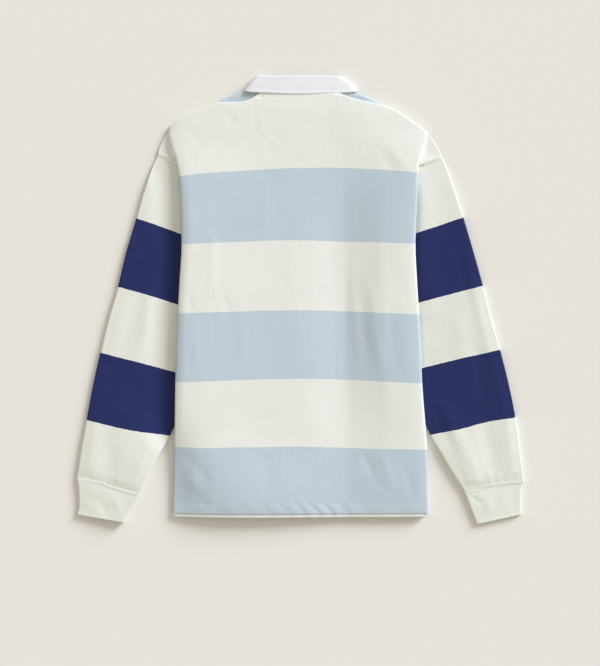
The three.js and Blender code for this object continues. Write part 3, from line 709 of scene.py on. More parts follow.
# %% Paths and tubes
SLEEVES = {
    "left": {
        "outer": [
            (-241.5, 245), (-253.5, 217), (-268.5, 172.5), (-278, 136.5), (-296, 75.5),
            (-309, 21), (-324.5, -31.5), (-339.5, -93.5), (-352, -150.5), (-362.5, -206.5),
            (-370.5, -247.5), (-379, -304)],
        "inner": [
            (-137.5, 28), (-146, -26.5), (-161.5, -77.5), (-178.5, -135), (-200.5, -184.5),
            (-221.5, -233), (-241.5, -268), (-272.5, -331.5)],
        "armhole": [
            (-241.5, 245), (-209, 231.8), (-177, 217.5), (-158, 169), (-144.5, 109.5),
            (-137.5, 28)]},
    "right": {
        "outer": [
            (241.5, 241.5), (251.5, 218.5), (267, 172.5), (278, 138.5), (296, 77.5), (311, 23),
            (324.5, -31.5), (341, -88.5), (355.5, -147), (366.5, -202.5), (373, -247.5),
            (380.5, -309.5)],
        "inner": [
            (137.5, 28), (146, -20.5), (161.5, -74), (177, -126.5), (200.5, -179.5),
            (222.5, -231.5), (241.5, -266), (277, -323.5)],
        "armhole": [
            (241.5, 241.5), (209, 228.3), (177, 215), (158, 167), (144.5, 108), (137.5, 28)]}}
CUFFS = {
    "left": {
        "outer": [(-378.4, -305.6), (-375.8, -324), (-375.2, -349.5), (-378.5, -364)],
        "inner": [(-272.6, -332.6), (-284, -351), (-298.5, -378)]},
    "right": {
        "outer": [(379.9, -310.8), (376.5, -324), (375.5, -349.5), (377, -364)],
        "inner": [(277.8, -324.6), (289, -353), (300.4, -381.4)]}}


def along(path, share):
    """Points at shares of a path's length, and the direction there."""
    path = np.array(path, float)
    length = np.concatenate([[0], np.linalg.norm(np.diff(path, axis=0), axis=1).cumsum()])
    share = np.asarray(share, float) * length[-1]

    def at(s):
        return np.stack([curve(np.stack([length, path[:, k]], axis=1), s) for k in (0, 1)], -1)

    heading = at(np.minimum(share + 2, length[-1])) - at(np.maximum(share - 2, 0))
    return at(share), heading / np.linalg.norm(heading, axis=-1, keepdims=True)


def tube(outer, inner, shares, columns, thickness, fullness, top_shape, armhole=None,
         crisp=(1, 1)):
    """Grid round a flattened tube. fullness: half its height at both edges, for each row.
    crisp: how round each edge is, from 1 for a half circle down to 0 for a sharp fold."""
    o, o_way = along(outer, shares)
    i, i_way = along(inner, shares)
    outward = np.stack([-o_way[:, 1], o_way[:, 0]], -1)
    outward *= np.sign(((o - i) * outward).sum(-1, keepdims=True))
    inward = np.stack([-i_way[:, 1], i_way[:, 0]], -1)
    inward *= np.sign(((i - o) * inward).sum(-1, keepdims=True))
    full_o, full_i = fullness
    a = o - outward * (crisp[0] * full_o + thickness / 2)[:, None]
    b = i - inward * (crisp[1] * full_i + thickness / 2)[:, None]
    fade = np.clip(1 - shares / 0.45, 0, 1) ** 1.5 if armhole else np.zeros(len(shares))
    t = np.concatenate([[0, 0.006], np.linspace(0, 1, columns)[1:-1], [0.994, 1]])
    across = mix(a[:, None], b[:, None], t[None, :, None])
    if armhole:
        on, _ = along(armhole, t)
        ends = np.array(armhole, float)
        bulge = on - mix(ends[0], ends[-1], t[:, None])
        across = across + bulge[None] * fade[:, None, None]
    low = thickness / 2
    high = low + 2 * mix(full_o[:, None], full_i[:, None], t)
    high = high + top_shape(across[..., 0], across[..., 1], t[None, :], shares[:, None])
    below = np.concatenate([across, np.full((*across.shape[:2], 1), low)], axis=-1)
    above = np.concatenate([across, high[..., None]], axis=-1)

    def turned(centre, direction, full, crisp):
        ring = []
        for angle in np.radians(np.linspace(0, 180, 9))[1:-1]:
            reach = (crisp * full * np.sin(angle))[:, None]
            ring.append(np.concatenate([
                centre + direction * reach, (low + full * (1 - np.cos(angle)))[:, None]], -1))
        return np.stack(ring, axis=1)

    return np.concatenate([
        below, turned(b, inward, full_i, crisp[1]), above[:, ::-1],
        turned(a, outward, full_o, crisp[0])[:, ::-1]], axis=1)


# %% [markdown]
# The sleeves hang from the shoulders and run down beside the body. Long soft folds follow their
# length, and above the ribbed cuff the wider sleeve is gathered in, which leaves small tucks.
# Their navy bands were measured like the stripes of the body.

# %% Sleeves
SLEEVE_FOLDS = {
    "left": [
        ([(-262, 150), (-286, 60), (-308, -20), (-326, -110)], 11, 0.9),
        ([(-250, 90), (-272, 10), (-294, -70)], 12, -0.9),
        ([(-246, 20), (-262, -50), (-282, -130)], 10, 0.9),
        ([(-208, -110), (-234, -190), (-258, -256), (-280, -326)], 30, 1.6),
        ([(-318, -190), (-322, -240), (-326, -318)], 18, -1.6),
        ([(-346, -150), (-354, -220), (-360, -316)], 12, 1.2),
        ([(-300, -250), (-306, -284), (-308, -324)], 8, 0.4),
        ([(-330, -60), (-346, -130), (-356, -190)], 9, -0.6),
        ([(-236, 215), (-246, 190), (-256, 160)], 7, 0.5)],
    "right": [
        ([(206, 222), (209, 160), (211, 90), (215, 30), (222, -40)], 17, 2.6),
        ([(234, 214), (254, 160), (272, 90), (288, 20), (300, -40)], 11, -1.3),
        ([(248, 216), (262, 168), (276, 110), (295, 40), (314, -36), (341, -138), (358, -216),
          (368, -300)], 13, 2.3),
        ([(262, -20), (280, -90), (296, -150)], 13, 0.9),
        ([(290, -70), (306, -130), (318, -190)], 12, -1.2),
        ([(232, -150), (254, -206), (279, -258), (298, -322)], 15, 2.0),
        ([(228, -176), (246, -220), (262, -262)], 8, -0.8),
        ([(308, -176), (322, -246), (334, -322)], 16, -1.8),
        ([(288, -260), (298, -290), (304, -318)], 5, 0.5),
        ([(318, -286), (322, -304), (324, -320)], 5, 0.5)]}
BAND_LINES = {                  # edges of the navy bands from the cuff up, as (x, y) in mm
    "left": [
        [(-362.5, -206.5), (-289.7, -223.6), (-221.5, -233.1)],
        [(-339.5, -93.3), (-271.5, -110.5), (-211.3, -126.8)],
        [(-308.3, 21.4), (-256.4, 7), (-206.5, -8.8)],
        [(-275.9, 136.5), (-238.6, 124), (-201.3, 110.1)]],
    "right": [
        [(366.5, -202.3), (323, -209), (272, -222), (222.6, -231.9)],
        [(341, -88.3), (271.9, -103.6), (207.2, -119.7)],
        [(311, 23.1), (255.2, 8.7), (200.8, -5.7)],
        [(278.3, 138.8), (238.3, 125.2), (197.3, 111.6)]]}


def sleeve_height(side, x, y):
    """Height in the sleeve's own cut cloth, 0 at the lowest band's lower edge."""
    sign = -1 if side == "left" else 1
    lines = []
    for line in BAND_LINES[side]:
        line = sorted((sign * px, py) for px, py in line)
        slope = (line[-1][1] - line[0][1]) / (line[-1][0] - line[0][0])
        px = sign * x
        inside = curve(line, px)
        lines.append(inside + slope * (px - np.clip(px, line[0][0], line[-1][0])))
    places = [k * REPEAT for k in range(len(lines))]
    place = np.where(y < lines[0], y - lines[0], y - lines[-1] + places[-1])
    for k in range(len(lines) - 1):
        inside = (y >= lines[k]) & (y < lines[k + 1])
        t = (y - lines[k]) / (lines[k + 1] - lines[k])
        place = np.where(inside, places[k] + t * REPEAT, place)
    return place


def outside_body(x, y):
    """How far a point lies beyond the body's side fold, in mm."""
    left = curve(LEFT_EDGE, y) - x
    right = x - curve(RIGHT_EDGE, y)
    return np.where(x < 0, left, right)


def tucked(grid, first, last):
    """Grid with its ends drawn a little further on, under the seams that hold them."""
    head = grid[:1] + (grid[:1] - grid[1:2]) * first
    tail = grid[-1:] + (grid[-1:] - grid[-2:-1]) * last
    return np.concatenate([head, grid, tail])


def girth_places(grid, top_start, heights):
    """Place of each point of a tube in its cut cloth, measured round it."""
    across = np.linalg.norm(np.diff(grid, axis=1), axis=2).cumsum(axis=1)
    across = np.concatenate([np.zeros((len(grid), 1)), across], axis=1)
    across -= across[:, top_start:top_start + 1]
    return np.stack([across, heights], axis=-1)


# The two arms lie differently. The left arm's end stands higher towards the body, and each arm
# has its own air at the outer edge and its own way to bend at the outer and the inner edge
TALLER = {"left": 2.8, "right": 0.0}
OUTER_AIR = {"left": 1.6, "right": 2.0}
CRISP = {"left": (0.8, 0.1), "right": (0.15, 0.9)}
# How far past the body's side fold a sleeve is still pressed flat, and the width in which it fills
PRESSED = {"left": (24, 32), "right": (-3, 10)}
SLEEVE_ZERO = 75                # the point of each row from which the place round a sleeve counts
sleeve_pieces = {}
sleeve_grids = {}
for side in ("left", "right"):
    paths = SLEEVES[side]
    shares = np.concatenate([np.linspace(0, 0.93, 140)[:-1], np.linspace(0.93, 1, 26)])
    inner_at, _ = along(paths["inner"], shares)
    free = ease((outside_body(inner_at[:, 0], inner_at[:, 1]) + 4) / 30)
    near_cuff = ease((1 - shares) / 0.04)
    crown = ease(shares / 0.10)
    full_outer = 0.9 + OUTER_AIR[side] * crown * (0.85 + 0.15 * near_cuff)
    full_inner = 0.9 + 1.9 * free * (0.85 + 0.15 * near_cuff)
    full_inner = full_inner + TALLER[side] * ease((shares - 0.62) / 0.3)
    pressed, slack = PRESSED[side]

    def top_shape(x, y, t, share):
        out = outside_body(x, y)
        loose = np.interp(share, shares, free)
        edge = ease(t / 0.16) * ease((1 - t) / 0.16)
        ends = ease(share / 0.10) * ease((1 - share) / 0.04)
        belly = 1.0 * np.sin(np.pi * np.clip(t, 0, 1)) ** 0.7 * ends
        tucks = np.sin(2 * np.pi * (9 * t + 0.5 * np.sin(7 * t + 1))) + 0.6 * np.sin(
            2 * np.pi * 17 * t + 2 * np.sin(5 * t))
        gathers = 0.13 * tucks * edge * ease((share - 0.945) / 0.035) * ease((1 - share) / 0.006)
        creases = folds(x, y, SLEEVE_FOLDS[side]) * edge * ends
        free_here = mix(ease((out - pressed) / slack), 1.0, loose)
        squeeze = 2 * mix(full_outer[:, None], full_inner[:, None], t) - LAYER
        return (belly + creases) * free_here + gathers - squeeze * (1 - free_here)

    grid = tube(paths["outer"], paths["inner"], shares, 44, CLOTH, (full_outer, full_inner),
                top_shape, paths["armhole"], crisp=CRISP[side])
    grid = tucked(grid, 0.35, 0.9)
    sleeve_grids[side] = grid
    places = girth_places(grid, SLEEVE_ZERO, sleeve_height(side, grid[..., 0], grid[..., 1]))
    sleeve_pieces[side] = wall(f"{side}_sleeve_jersey", grid, places, CLOTH, closed=True)
print("sleeves' height in mm:", [round(float(g[..., 2].max()), 1) for g in sleeve_grids.values()])

# %% [markdown]
# The cuffs are rib knit, thicker and springier than jersey. Rib stands in fine ridges along the
# arm, and its free end is a soft fold. The tube function makes them too, with wider walls.

# %% Cuffs
RIB = 1.8                       # thickness of the rib knit in mm
CUFF_LENGTH = 58
CUFF_ZERO = 93                  # the point of each row from which the place round a cuff counts
PLUMP = 0.35                    # height of the soft swell on a cuff's top
CUFF_LIP = {"left": 0.1, "right": 0.45}   # how far a cuff's free end rises
CUFF_FOLDS = {
    "left": [
        ([(-366, -322), (-330, -332), (-296, -344)], 9, 0.3),
        ([(-340, -338), (-332, -356), (-326, -368)], 8, -0.8),
        ([(-318, -334), (-306, -352), (-300, -372)], 7, 0.6),
        ([(-370, -340), (-350, -352), (-330, -360)], 9, 0.4)],
    "right": [
        ([(290, -334), (300, -342), (312, -344)], 4, -0.7),
        ([(300, -332), (318, -342), (326, -366)], 8, 0.6),
        ([(340, -322), (346, -344), (344, -362)], 9, 0.5),
        ([(362, -318), (364, -338), (362, -356)], 7, -0.4)]}
cuff_pieces = {}
for side in ("left", "right"):
    shares = np.concatenate([np.linspace(0, 0.9, 24)[:-1], np.linspace(0.9, 1, 8)])
    full = 2.25 - 0.2 * shares

    def cuff_top(x, y, t, share):
        edge = ease(t / 0.12) * ease((1 - t) / 0.12)
        rim = 1 - ease((share - 0.9) / 0.1)
        swell = PLUMP * np.sin(np.pi * np.clip(t, 0, 1)) ** 0.6 * ease(share / 0.2)
        lip = CUFF_LIP[side] * ease((share - 0.9) / 0.1)
        return edge * (folds(x, y, CUFF_FOLDS[side]) * (0.3 + 0.7 * rim) * ease(share / 0.15)
                       + lip) + swell

    grid = tube(CUFFS[side]["outer"], CUFFS[side]["inner"], shares, 60, RIB,
                (full, full + TALLER[side]), cuff_top, crisp=CRISP[side])
    grid = tucked(grid, 0.4, 0.0)[:-1]
    heights = np.concatenate([[0.5], -CUFF_LENGTH * shares])[:, None]
    places = girth_places(grid, CUFF_ZERO, np.broadcast_to(heights, grid.shape[:2]))
    cuff_pieces[side] = wall(f"{side}_cuff_rib", grid, places, RIB, closed=True)

# %% [markdown]
# The collar is one band of twill: a stand that rises from the neck seam, a soft roll, and a fall
# that comes back down over the seam. It is open at the front, so seen from behind it makes a
# flattened ring. Each station of the table is one cross-section of half the ring.

# %% Collar
# Neck seam (x, y), roll (x, y), free edge (x, y), side that faces up (90: the back), side bulge
COLLAR = [
    (0, 355.6, 0, 379.4, 0, 349.4, 90, 0), (30, 355.5, 30, 379.4, 31, 350.4, 90, 0),
    (50, 355.5, 50, 379.4, 56, 351.6, 90, 0), (61, 355.2, 58.5, 379.4, 76, 352.4, 90, 0),
    (70, 355.8, 61, 379.2, 88, 353, 90, 0), (76, 356.8, 61, 379, 91.5, 354.4, 45, 4.5),
    (76, 357, 61, 378.8, 91.5, 355, 0, 5), (76, 356.8, 61, 378.6, 91.5, 354.9, -45, 4.5),
    (75.5, 355.5, 61, 378, 91.5, 353.9, -90, 0), (74, 351, 61, 375, 93.5, 346, -90, 0),
    (62.4, 318.6, 58, 358, 96, 318, -90, 0), (49.4, 303.6, 48, 337, 91, 291, -90, 0),
    (29.7, 288.7, 30, 318, 81, 269, -90, 0), (15.5, 282.1, 16, 310.5, 72, 259, -90, 0),
    (5, 281.8, 6, 307, 66, 256, -90, 0)]
COLLAR_MIDDLE = 3.45            # height about which the ring turns over
stations = np.unique(np.concatenate([
    np.linspace(0, 4, 34), np.linspace(4, 8, 29), np.linspace(8, 14, 44)]))
half_ring = np.stack([
    curve([(k, row[column]) for k, row in enumerate(COLLAR)], stations)
    for column in range(8)], axis=1)


def collar_half(way):
    """One half of the ring: each row goes up the stand, over the roll and down the fall."""
    neck, roll, edge = half_ring[:, 0:2], half_ring[:, 2:4].copy(), half_ring[:, 4:6].copy()
    turn, bulge = np.radians(half_ring[:, 6]), half_ring[:, 7].copy()
    side = ease((stations - 1.2) / 2.2) * ease((11 - stations) / 3)
    if way < 0:                 # the left end stands more upright than the right one
        roll[:, 0] += 8.5 * side
        edge[:, 0] -= 3.5 * side
        bulge = bulge * 0.15
    else:
        roll[:, 0] += 3.0 * side
        roll[:, 1] -= 1.2 * ease((stations - 2) / 2) * side
        edge[:, 0] += 1.0 * side
        bulge = bulge * 0.55
    upper = 0.5 + 0.5 * np.sin(turn)
    stand = 0.9 + 5.8 * upper
    fall = 2.7 + 5.7 * upper
    out_x, out_z = np.cos(turn), np.sin(turn)
    if way > 0:                 # the right end turns over in a flatter, squarer bend
        roll[:, 0] += 3.4 * out_x
        edge[:, 0] += 3.4 * out_x
        out_x, out_z = 0.45 * out_x, np.where(out_z > 0, np.abs(out_z) ** 0.35, out_z)
    roll[:, 1] -= 1.2 * upper
    edge[:, 1] -= 1.3 * upper
    up = (roll - neck) / np.linalg.norm(roll - neck, axis=1, keepdims=True)
    radius = (fall - stand) / 2
    roll = roll - up * (radius - 0.9)[:, None]
    line = []

    def place(p, r, past=0.0):
        x = p[:, 0] + out_x * r + up[:, 0] * past
        far = way * x           # the back's side slopes down towards the right end
        r = r - (0.008 * far + 0.00026 * np.maximum(far, 0) ** 2) * upper
        line.append(np.stack([
            way * x, p[:, 1] + up[:, 1] * past, COLLAR_MIDDLE + out_z * r], axis=-1))

    for t in np.linspace(0, 1, 10):
        place(mix(neck, roll, t), stand)
    for angle in np.radians(np.linspace(0, 180, 10))[1:-1]:
        place(roll, stand + radius * (1 - np.cos(angle)), 0.6 * radius * np.sin(angle))
    for t in (0, 0.02, *np.linspace(0, 1, 14)[1:]):
        p = mix(roll, edge, t)
        more = (bulge * 4 * t * (1 - t))[:, None] * np.array([0.75, 0.66])
        settle = -0.35 * np.sin(np.pi * t) * upper - 0.6 * upper * ease((t - 0.45) / 0.55)
        lip = 0.3 * upper * ease((t - 0.86) / 0.14)
        place(p + more, fall + settle + lip)
    return np.stack(line, axis=1)


collar_grid = np.concatenate([collar_half(-1)[::-1], collar_half(1)[1:]])
run = np.linalg.norm(np.diff(collar_grid, axis=0), axis=2).cumsum(axis=0)
run = np.concatenate([np.zeros((1, collar_grid.shape[1])), run])
down = np.linalg.norm(np.diff(collar_grid, axis=1), axis=2).cumsum(axis=1)
down = np.concatenate([np.zeros((len(collar_grid), 1)), down], axis=1)
collar_piece = wall("collar_twill", collar_grid, np.stack([run, down], axis=-1), CLOTH)

# %% [markdown]
# Now the finishes. A small helper adds nodes to a material and joins them, so that each finish
# reads like a recipe. Colours are given as the eye sees them and turned into light values.

# %% A recipe book of nodes
def light_value(red, green, blue):
    """A colour as seen, 0 to 255, as the amount of light that it returns."""
    return [((c / 255 + 0.055) / 1.055) ** 2.4 for c in (red, green, blue)]


class Recipe:
    def __init__(self, name):
        self.material = bpy.data.materials.new(name)
        self.material.use_nodes = True
        self.tree = self.material.node_tree
        self.shader = self.tree.nodes["Principled BSDF"]
        uv = self.tree.nodes.new("ShaderNodeUVMap")
        uv.uv_map = "cloth"
        self.place = uv.outputs["UV"]
        apart = self.add("ShaderNodeSeparateXYZ", Vector=self.place)
        self.across, self.up = apart.outputs["X"], apart.outputs["Y"]

    def add(self, kind, settings=None, **inputs):
        node = self.tree.nodes.new(kind)
        for key, value in (settings or {}).items():
            setattr(node, key, value)
        for key, value in inputs.items():
            self.set(node.inputs[key], value)
        return node

    def set(self, socket, value):
        if isinstance(value, bpy.types.NodeSocket):
            self.tree.links.new(value, socket)
        else:
            socket.default_value = value

    def math(self, operation, *values):
        node = self.tree.nodes.new("ShaderNodeMath")
        node.operation = operation
        for socket, value in zip(node.inputs, values):
            self.set(socket, value)
        return node.outputs[0]

    def noise(self, scale, detail=2.0, roughness=0.5, where=None):
        node = self.add("ShaderNodeTexNoise", Scale=scale, Detail=detail, Roughness=roughness,
                        Vector=where or self.place)
        return node.outputs["Fac"]

    def to_range(self, value, low, high, new_low, new_high):
        node = self.tree.nodes.new("ShaderNodeMapRange")
        for socket, number in zip(node.inputs, (value, low, high, new_low, new_high)):
            self.set(socket, number)
        return node.outputs[0]

    def ramp(self, factor, stops, interpolation="LINEAR"):
        node = self.add("ShaderNodeValToRGB", Fac=factor)
        node.color_ramp.interpolation = interpolation
        elements = node.color_ramp.elements
        while len(elements) > 1:
            elements.remove(elements[-1])
        elements[0].position, elements[0].color = stops[0][0], (*stops[0][1], 1)
        for position, colour in stops[1:]:
            elements.new(position).color = (*colour, 1)
        return node.outputs["Color"]

    def tint(self, colour, by):
        """A colour made lighter or darker by a grey value around 1."""
        node = self.tree.nodes.new("ShaderNodeVectorMath")
        node.operation = "SCALE"
        self.set(node.inputs[0], colour)
        self.set(node.inputs["Scale"], by)
        return node.outputs[0]

    def wave(self, coordinate, period):
        """A sine of the given period in metres, from -1 to 1."""
        return self.math("SINE", self.math("MULTIPLY", coordinate, 2 * math.pi / period))

    def finish(self, colour, roughness, relief, depth, sheen):
        self.set(self.shader.inputs["Base Color"], colour)
        self.set(self.shader.inputs["Roughness"], roughness)
        self.shader.inputs["Specular IOR Level"].default_value = 0.2
        self.shader.inputs["Sheen Weight"].default_value = sheen
        self.shader.inputs["Sheen Roughness"].default_value = 0.6
        bump = self.add("ShaderNodeBump", Height=relief, Distance=depth)
        bump.inputs["Strength"].default_value = 0.6
        self.set(self.shader.inputs["Normal"], bump.outputs["Normal"])
        return self.material


print("cream returns", [round(v, 2) for v in light_value(229, 230, 223)], "of the light")

# %% [markdown]
# Jersey is weft knit: on its face the loops stand in upright ribs called wales, about six to a
# centimetre, crossed by finer rows. The relief below makes both from sines and breaks them with
# noise. The dye is uneven in a soft, cloudy way, and the surface has worn a little paler.

# %% Jersey with knitted stripes
CREAM = light_value(229, 230, 223)
PAINTED_SHADE_SLEEVE_CREAM = light_value(226, 227, 218)       # the sleeves' cream is painted a little darker and warmer: painted shade
SKY_BLUE = light_value(189, 203, 212)
NAVY = light_value(33, 43, 93)


def jersey(name, bands, lowest, highest):
    """bands: (place where it starts, in mm of cut cloth, colour), from the lowest up."""
    r = Recipe(name)
    wobble = r.math("MULTIPLY", r.math("SUBTRACT", r.noise(90.0, 1.0), 0.5), 0.0016)
    height = r.math("ADD", r.up, wobble)
    factor = r.to_range(height, lowest / 1000, highest / 1000, 0.0, 1.0)
    stops = [(0.0, bands[0][1])]
    for start, colour in bands[1:]:
        stops.append(((start - lowest) / (highest - lowest), colour))
    dye = r.ramp(factor, stops, "CONSTANT")
    cloud = r.to_range(r.noise(11.0, 3.0), 0.3, 0.7, 0.98, 1.015)
    drawn_out = r.add("ShaderNodeMapping", Vector=r.place, Scale=(1.0, 0.06, 1.0))
    streaks = r.to_range(r.noise(150.0, 3.0, 0.6, drawn_out.outputs["Vector"]),
                         0.3, 0.7, 0.984, 1.01)
    cloud = r.math("MULTIPLY", cloud, streaks)
    heather = r.to_range(r.noise(900.0, 2.0, 0.7), 0.3, 0.7, 0.965, 1.03)
    wales = r.wave(r.math("ADD", r.across, r.math("MULTIPLY", r.noise(60.0), 0.0008)), 0.0017)
    courses = r.wave(r.math("ADD", r.up, r.math("MULTIPLY", wales, 0.0003)), 0.0013)
    loops = r.math("ADD", r.math("MULTIPLY", wales, 0.5), r.math("MULTIPLY", courses, 0.3))
    # The loops' hollows are painted a little darker and their tops a little lighter: painted shade
    # and highlight.
    painted_loop_shade = r.to_range(loops, -0.8, 0.8, 0.985, 1.012)
    worn = r.to_range(r.noise(24.0, 4.0, 0.6), 0.55, 0.8, 1.0, 1.03)
    shade = r.math("MULTIPLY", r.math("MULTIPLY", cloud, heather), r.math("MULTIPLY", painted_loop_shade, worn))
    relief = r.math("ADD", r.math("MULTIPLY", loops, 0.5),
                    r.math("MULTIPLY", r.noise(420.0, 3.0, 0.6), 1.4))
    rough = r.to_range(r.noise(40.0, 2.0), 0.3, 0.7, 0.84, 0.96)
    return r.finish(r.tint(dye, shade), rough, relief, 0.00018, 0.05)


body_bands = [(-500, SKY_BLUE)] + [
    (LOWEST_LINE + k * REPEAT, (CREAM, SKY_BLUE)[k % 2]) for k in range(6)]
body_jersey = jersey("striped_body_jersey", body_bands, -400, 400)
front_bands = [(-500, CREAM), (-352, SKY_BLUE)] + body_bands[1:]
front_jersey = jersey("striped_front_jersey", front_bands, -400, 400)
sleeve_bands = [(-400, PAINTED_SHADE_SLEEVE_CREAM), (0, NAVY), (REPEAT, PAINTED_SHADE_SLEEVE_CREAM), (2 * REPEAT, NAVY),
                (3 * REPEAT, PAINTED_SHADE_SLEEVE_CREAM)]
sleeve_jersey = jersey("banded_sleeve_jersey", sleeve_bands, -400, 600)

# %% [markdown]
# Twill is woven with a slanting rib, so the collar is smoother and whiter than the jersey. Rib
# knit on the cuffs has deep ridges along the arm that open and close as the cuff stretches.

# %% Collar twill and cuff rib
def twill(name, colour):
    r = Recipe(name)
    slant = r.math("ADD", r.across, r.math("MULTIPLY", r.up, 1.2))
    rib = r.wave(slant, 0.0011)
    threads = r.to_range(r.noise(1300.0, 2.0, 0.7), 0.3, 0.7, 0.97, 1.025)
    cloud = r.to_range(r.noise(18.0, 3.0), 0.3, 0.7, 0.98, 1.015)
    even = r.ramp(r.noise(7.0, 2.0), [(0.3, colour), (0.7, [min(1, c * 1.02) for c in colour])])
    relief = r.math("ADD", r.math("MULTIPLY", rib, 0.35), r.noise(500.0, 2.0))
    rough = r.to_range(r.noise(60.0), 0.3, 0.7, 0.8, 0.92)
    return r.finish(r.tint(even, r.math("MULTIPLY", threads, cloud)), rough, relief, 0.00012, 0.1)


def rib_knit(name, colour):
    r = Recipe(name)
    ridges = r.wave(r.math("ADD", r.across, r.math("MULTIPLY", r.noise(30.0), 0.001)), 0.0023)
    courses = r.wave(r.up, 0.0014)
    loops = r.math("ADD", ridges, r.math("MULTIPLY", courses, 0.25))
    # The valleys between the ridges are painted a little darker: painted shade.
    painted_valley_shade = r.to_range(ridges, -1.0, 0.2, 0.992, 1.0)
    cloud = r.to_range(r.noise(20.0, 3.0), 0.3, 0.7, 0.97, 1.02)
    fuzz = r.to_range(r.noise(900.0, 2.0, 0.7), 0.3, 0.7, 0.97, 1.03)
    even = r.ramp(r.noise(9.0, 2.0), [(0.3, colour), (0.7, [c * 1.02 for c in colour])])
    shade = r.math("MULTIPLY", r.math("MULTIPLY", painted_valley_shade, cloud), fuzz)
    relief = r.math("ADD", loops, r.math("MULTIPLY", r.noise(420.0, 3.0), 1.2))
    rough = r.to_range(r.noise(50.0), 0.3, 0.7, 0.84, 0.95)
    return r.finish(r.tint(even, shade), rough, relief, 0.00006, 0.05)


collar_white = twill("white_collar_twill", light_value(235, 236, 239))
placket_white = twill("placket_twill_face", light_value(232, 233, 229))
cuff_rib = rib_knit("pale_cuff_rib", light_value(225, 227, 217))

for piece, finish in (
        (back_piece, body_jersey), (front_piece, front_jersey), (placket_piece, placket_white),
        (sleeve_pieces["left"], sleeve_jersey), (sleeve_pieces["right"], sleeve_jersey),
        (cuff_pieces["left"], cuff_rib), (cuff_pieces["right"], cuff_rib),
        (collar_piece, collar_white)):
    piece.data.materials.append(finish)
print("finishes:", [m.name for m in bpy.data.materials])

# %% [markdown]
# Sewing holds the pieces together and shows as low ridges with rows of thread beside them. A
# ridge or a stitch has to lie on cloth that rises and falls, so a ray is sent straight down at
# each of its points and the point is put where the ray meets the cloth.

# %% Letting a line down on the cloth
from mathutils import Vector
from mathutils.bvhtree import BVHTree


def faces_of(piece):
    """A search tree of one piece's faces, which a ray can be sent through."""
    mesh = piece.data
    return BVHTree.FromPolygons([v.co for v in mesh.vertices],
                                [tuple(p.vertices) for p in mesh.polygons])


cloth_below = {piece.name: faces_of(piece) for piece in (
    back_piece, collar_piece, *sleeve_pieces.values(), *cuff_pieces.values())}


def height_at(x, y, names):
    """Height in mm of the highest of the named pieces at a place on the table, or None."""
    best = None
    start = Vector(((x - CENTRE_SHIFT[0]) / 1000, (y - CENTRE_SHIFT[1]) / 1000, 0.2))
    for name in names:
        hit = cloth_below[name].ray_cast(start, Vector((0, 0, -1)))[0]
        if hit is not None and (best is None or hit.z * 1000 > best):
            best = hit.z * 1000
    return best


print("height of the cloth in the middle of the back:",
      round(height_at(0, 0, ["back_jersey"]), 1), "mm")

# %% [markdown]
# A seam's allowance is turned in behind it, and the extra layers lift the cloth into a ridge a
# few millimetres wide. Here a ridge is a narrow wall with a bent profile. Its two long edges sink
# into the cloth beside the seam, so it also closes the join between two pieces.

# %% Seam ridges
RIDGE_WALL = 0.3                # a ridge is a thin wall, because the layers below it are hidden
RIDGE_SUNK = 0.27               # and its middle surface lies this far below its profile


def ridge(name, path, profile, names, finish, uv, step=3.0, bridge=False):
    """A raised band along a path. profile: (offset across, height) in mm."""
    length = np.linalg.norm(np.diff(np.array(path, float), axis=0), axis=1).sum()
    middle, heading = along(path, np.linspace(0, 1, int(length / step) + 2))
    side = np.stack([-heading[:, 1], heading[:, 0]], -1)
    grid = []
    for point, out in zip(middle, side):
        offsets = [offset for offset, _ in profile]
        here = [height_at(*(point + out * offset), names) for offset in offsets]
        if bridge:              # span the join from one piece to the other
            ends = [height_at(*(point + out * far), names)
                    for far in (offsets[0] - 0.8, offsets[-1] + 0.8)]
            if None in ends:
                continue
            here = list(np.linspace(ends[0], ends[1], len(offsets)))
        if None in here:
            continue
        grid.append([(*(point + out * offset), z + rise - RIDGE_SUNK)
                     for (offset, rise), z in zip(profile, here)])
    grid = np.array(grid)
    grid[:, :, 2] = np.apply_along_axis(
        lambda z: np.convolve(np.pad(z, 1, mode="edge"), (0.25, 0.5, 0.25), "valid"), 0,
        grid[:, :, 2])
    piece = wall(name, grid, uv(grid), RIDGE_WALL)
    piece.data.materials.append(finish)
    return piece


def body_uv(grid):
    """Places in the back's striped cloth."""
    x, y = grid[..., 0], grid[..., 1]
    return np.stack([x, cloth_height(x, y, NECK_LINE, BACK_END)], axis=-1)


def plain_uv(grid):
    """Places in the cream stripe below the neck, for a seam that shows no stripes."""
    return np.stack([grid[..., 0], np.full(grid.shape[:2], 300.0)], axis=-1)


HALF_MOON = [                   # the patch below the neck, its sewn edge in mm
    (-71, 352), (-70.8, 340), (-69, 319), (-63.5, 292.5), (-51.5, 271.5), (-32, 255.5), (-8.5, 248),
    (16, 248.5), (40, 257), (55, 276.5), (63.5, 302.5), (66, 325), (66, 341), (66, 351)]
CUFF_SEAMS = {
    "left": [(-377, -305), (-366, -305.6), (-352, -309.2), (-340, -311), (-322, -317.6),
             (-306, -322.4), (-288, -327.6), (-275, -330.8)],
    "right": [(280, -323.2), (289, -324.6), (297.5, -324), (315.9, -317.6), (339.7, -312.4),
              (360, -311.2), (378.6, -310.8)]}
ARMHOLES = {                    # path of each seam, and the ridge's profile: the right one is flat
    "left": ([(-240, 244.6), (-232, 241.4), (-221, 236.6), (-213, 232.8), (-208.5, 230.6)],
             [(-3.4, 0), (-1.7, 0.26), (0, 0.12), (1.7, 0.26), (3.4, 0)]),
    "right": ([(241, 241.6), (232, 238), (221, 233.4), (213, 229.6), (209.5, 228)],
              [(-2.4, 0.08), (-1, 0.16), (1, 0.16), (2.4, 0.08)])}

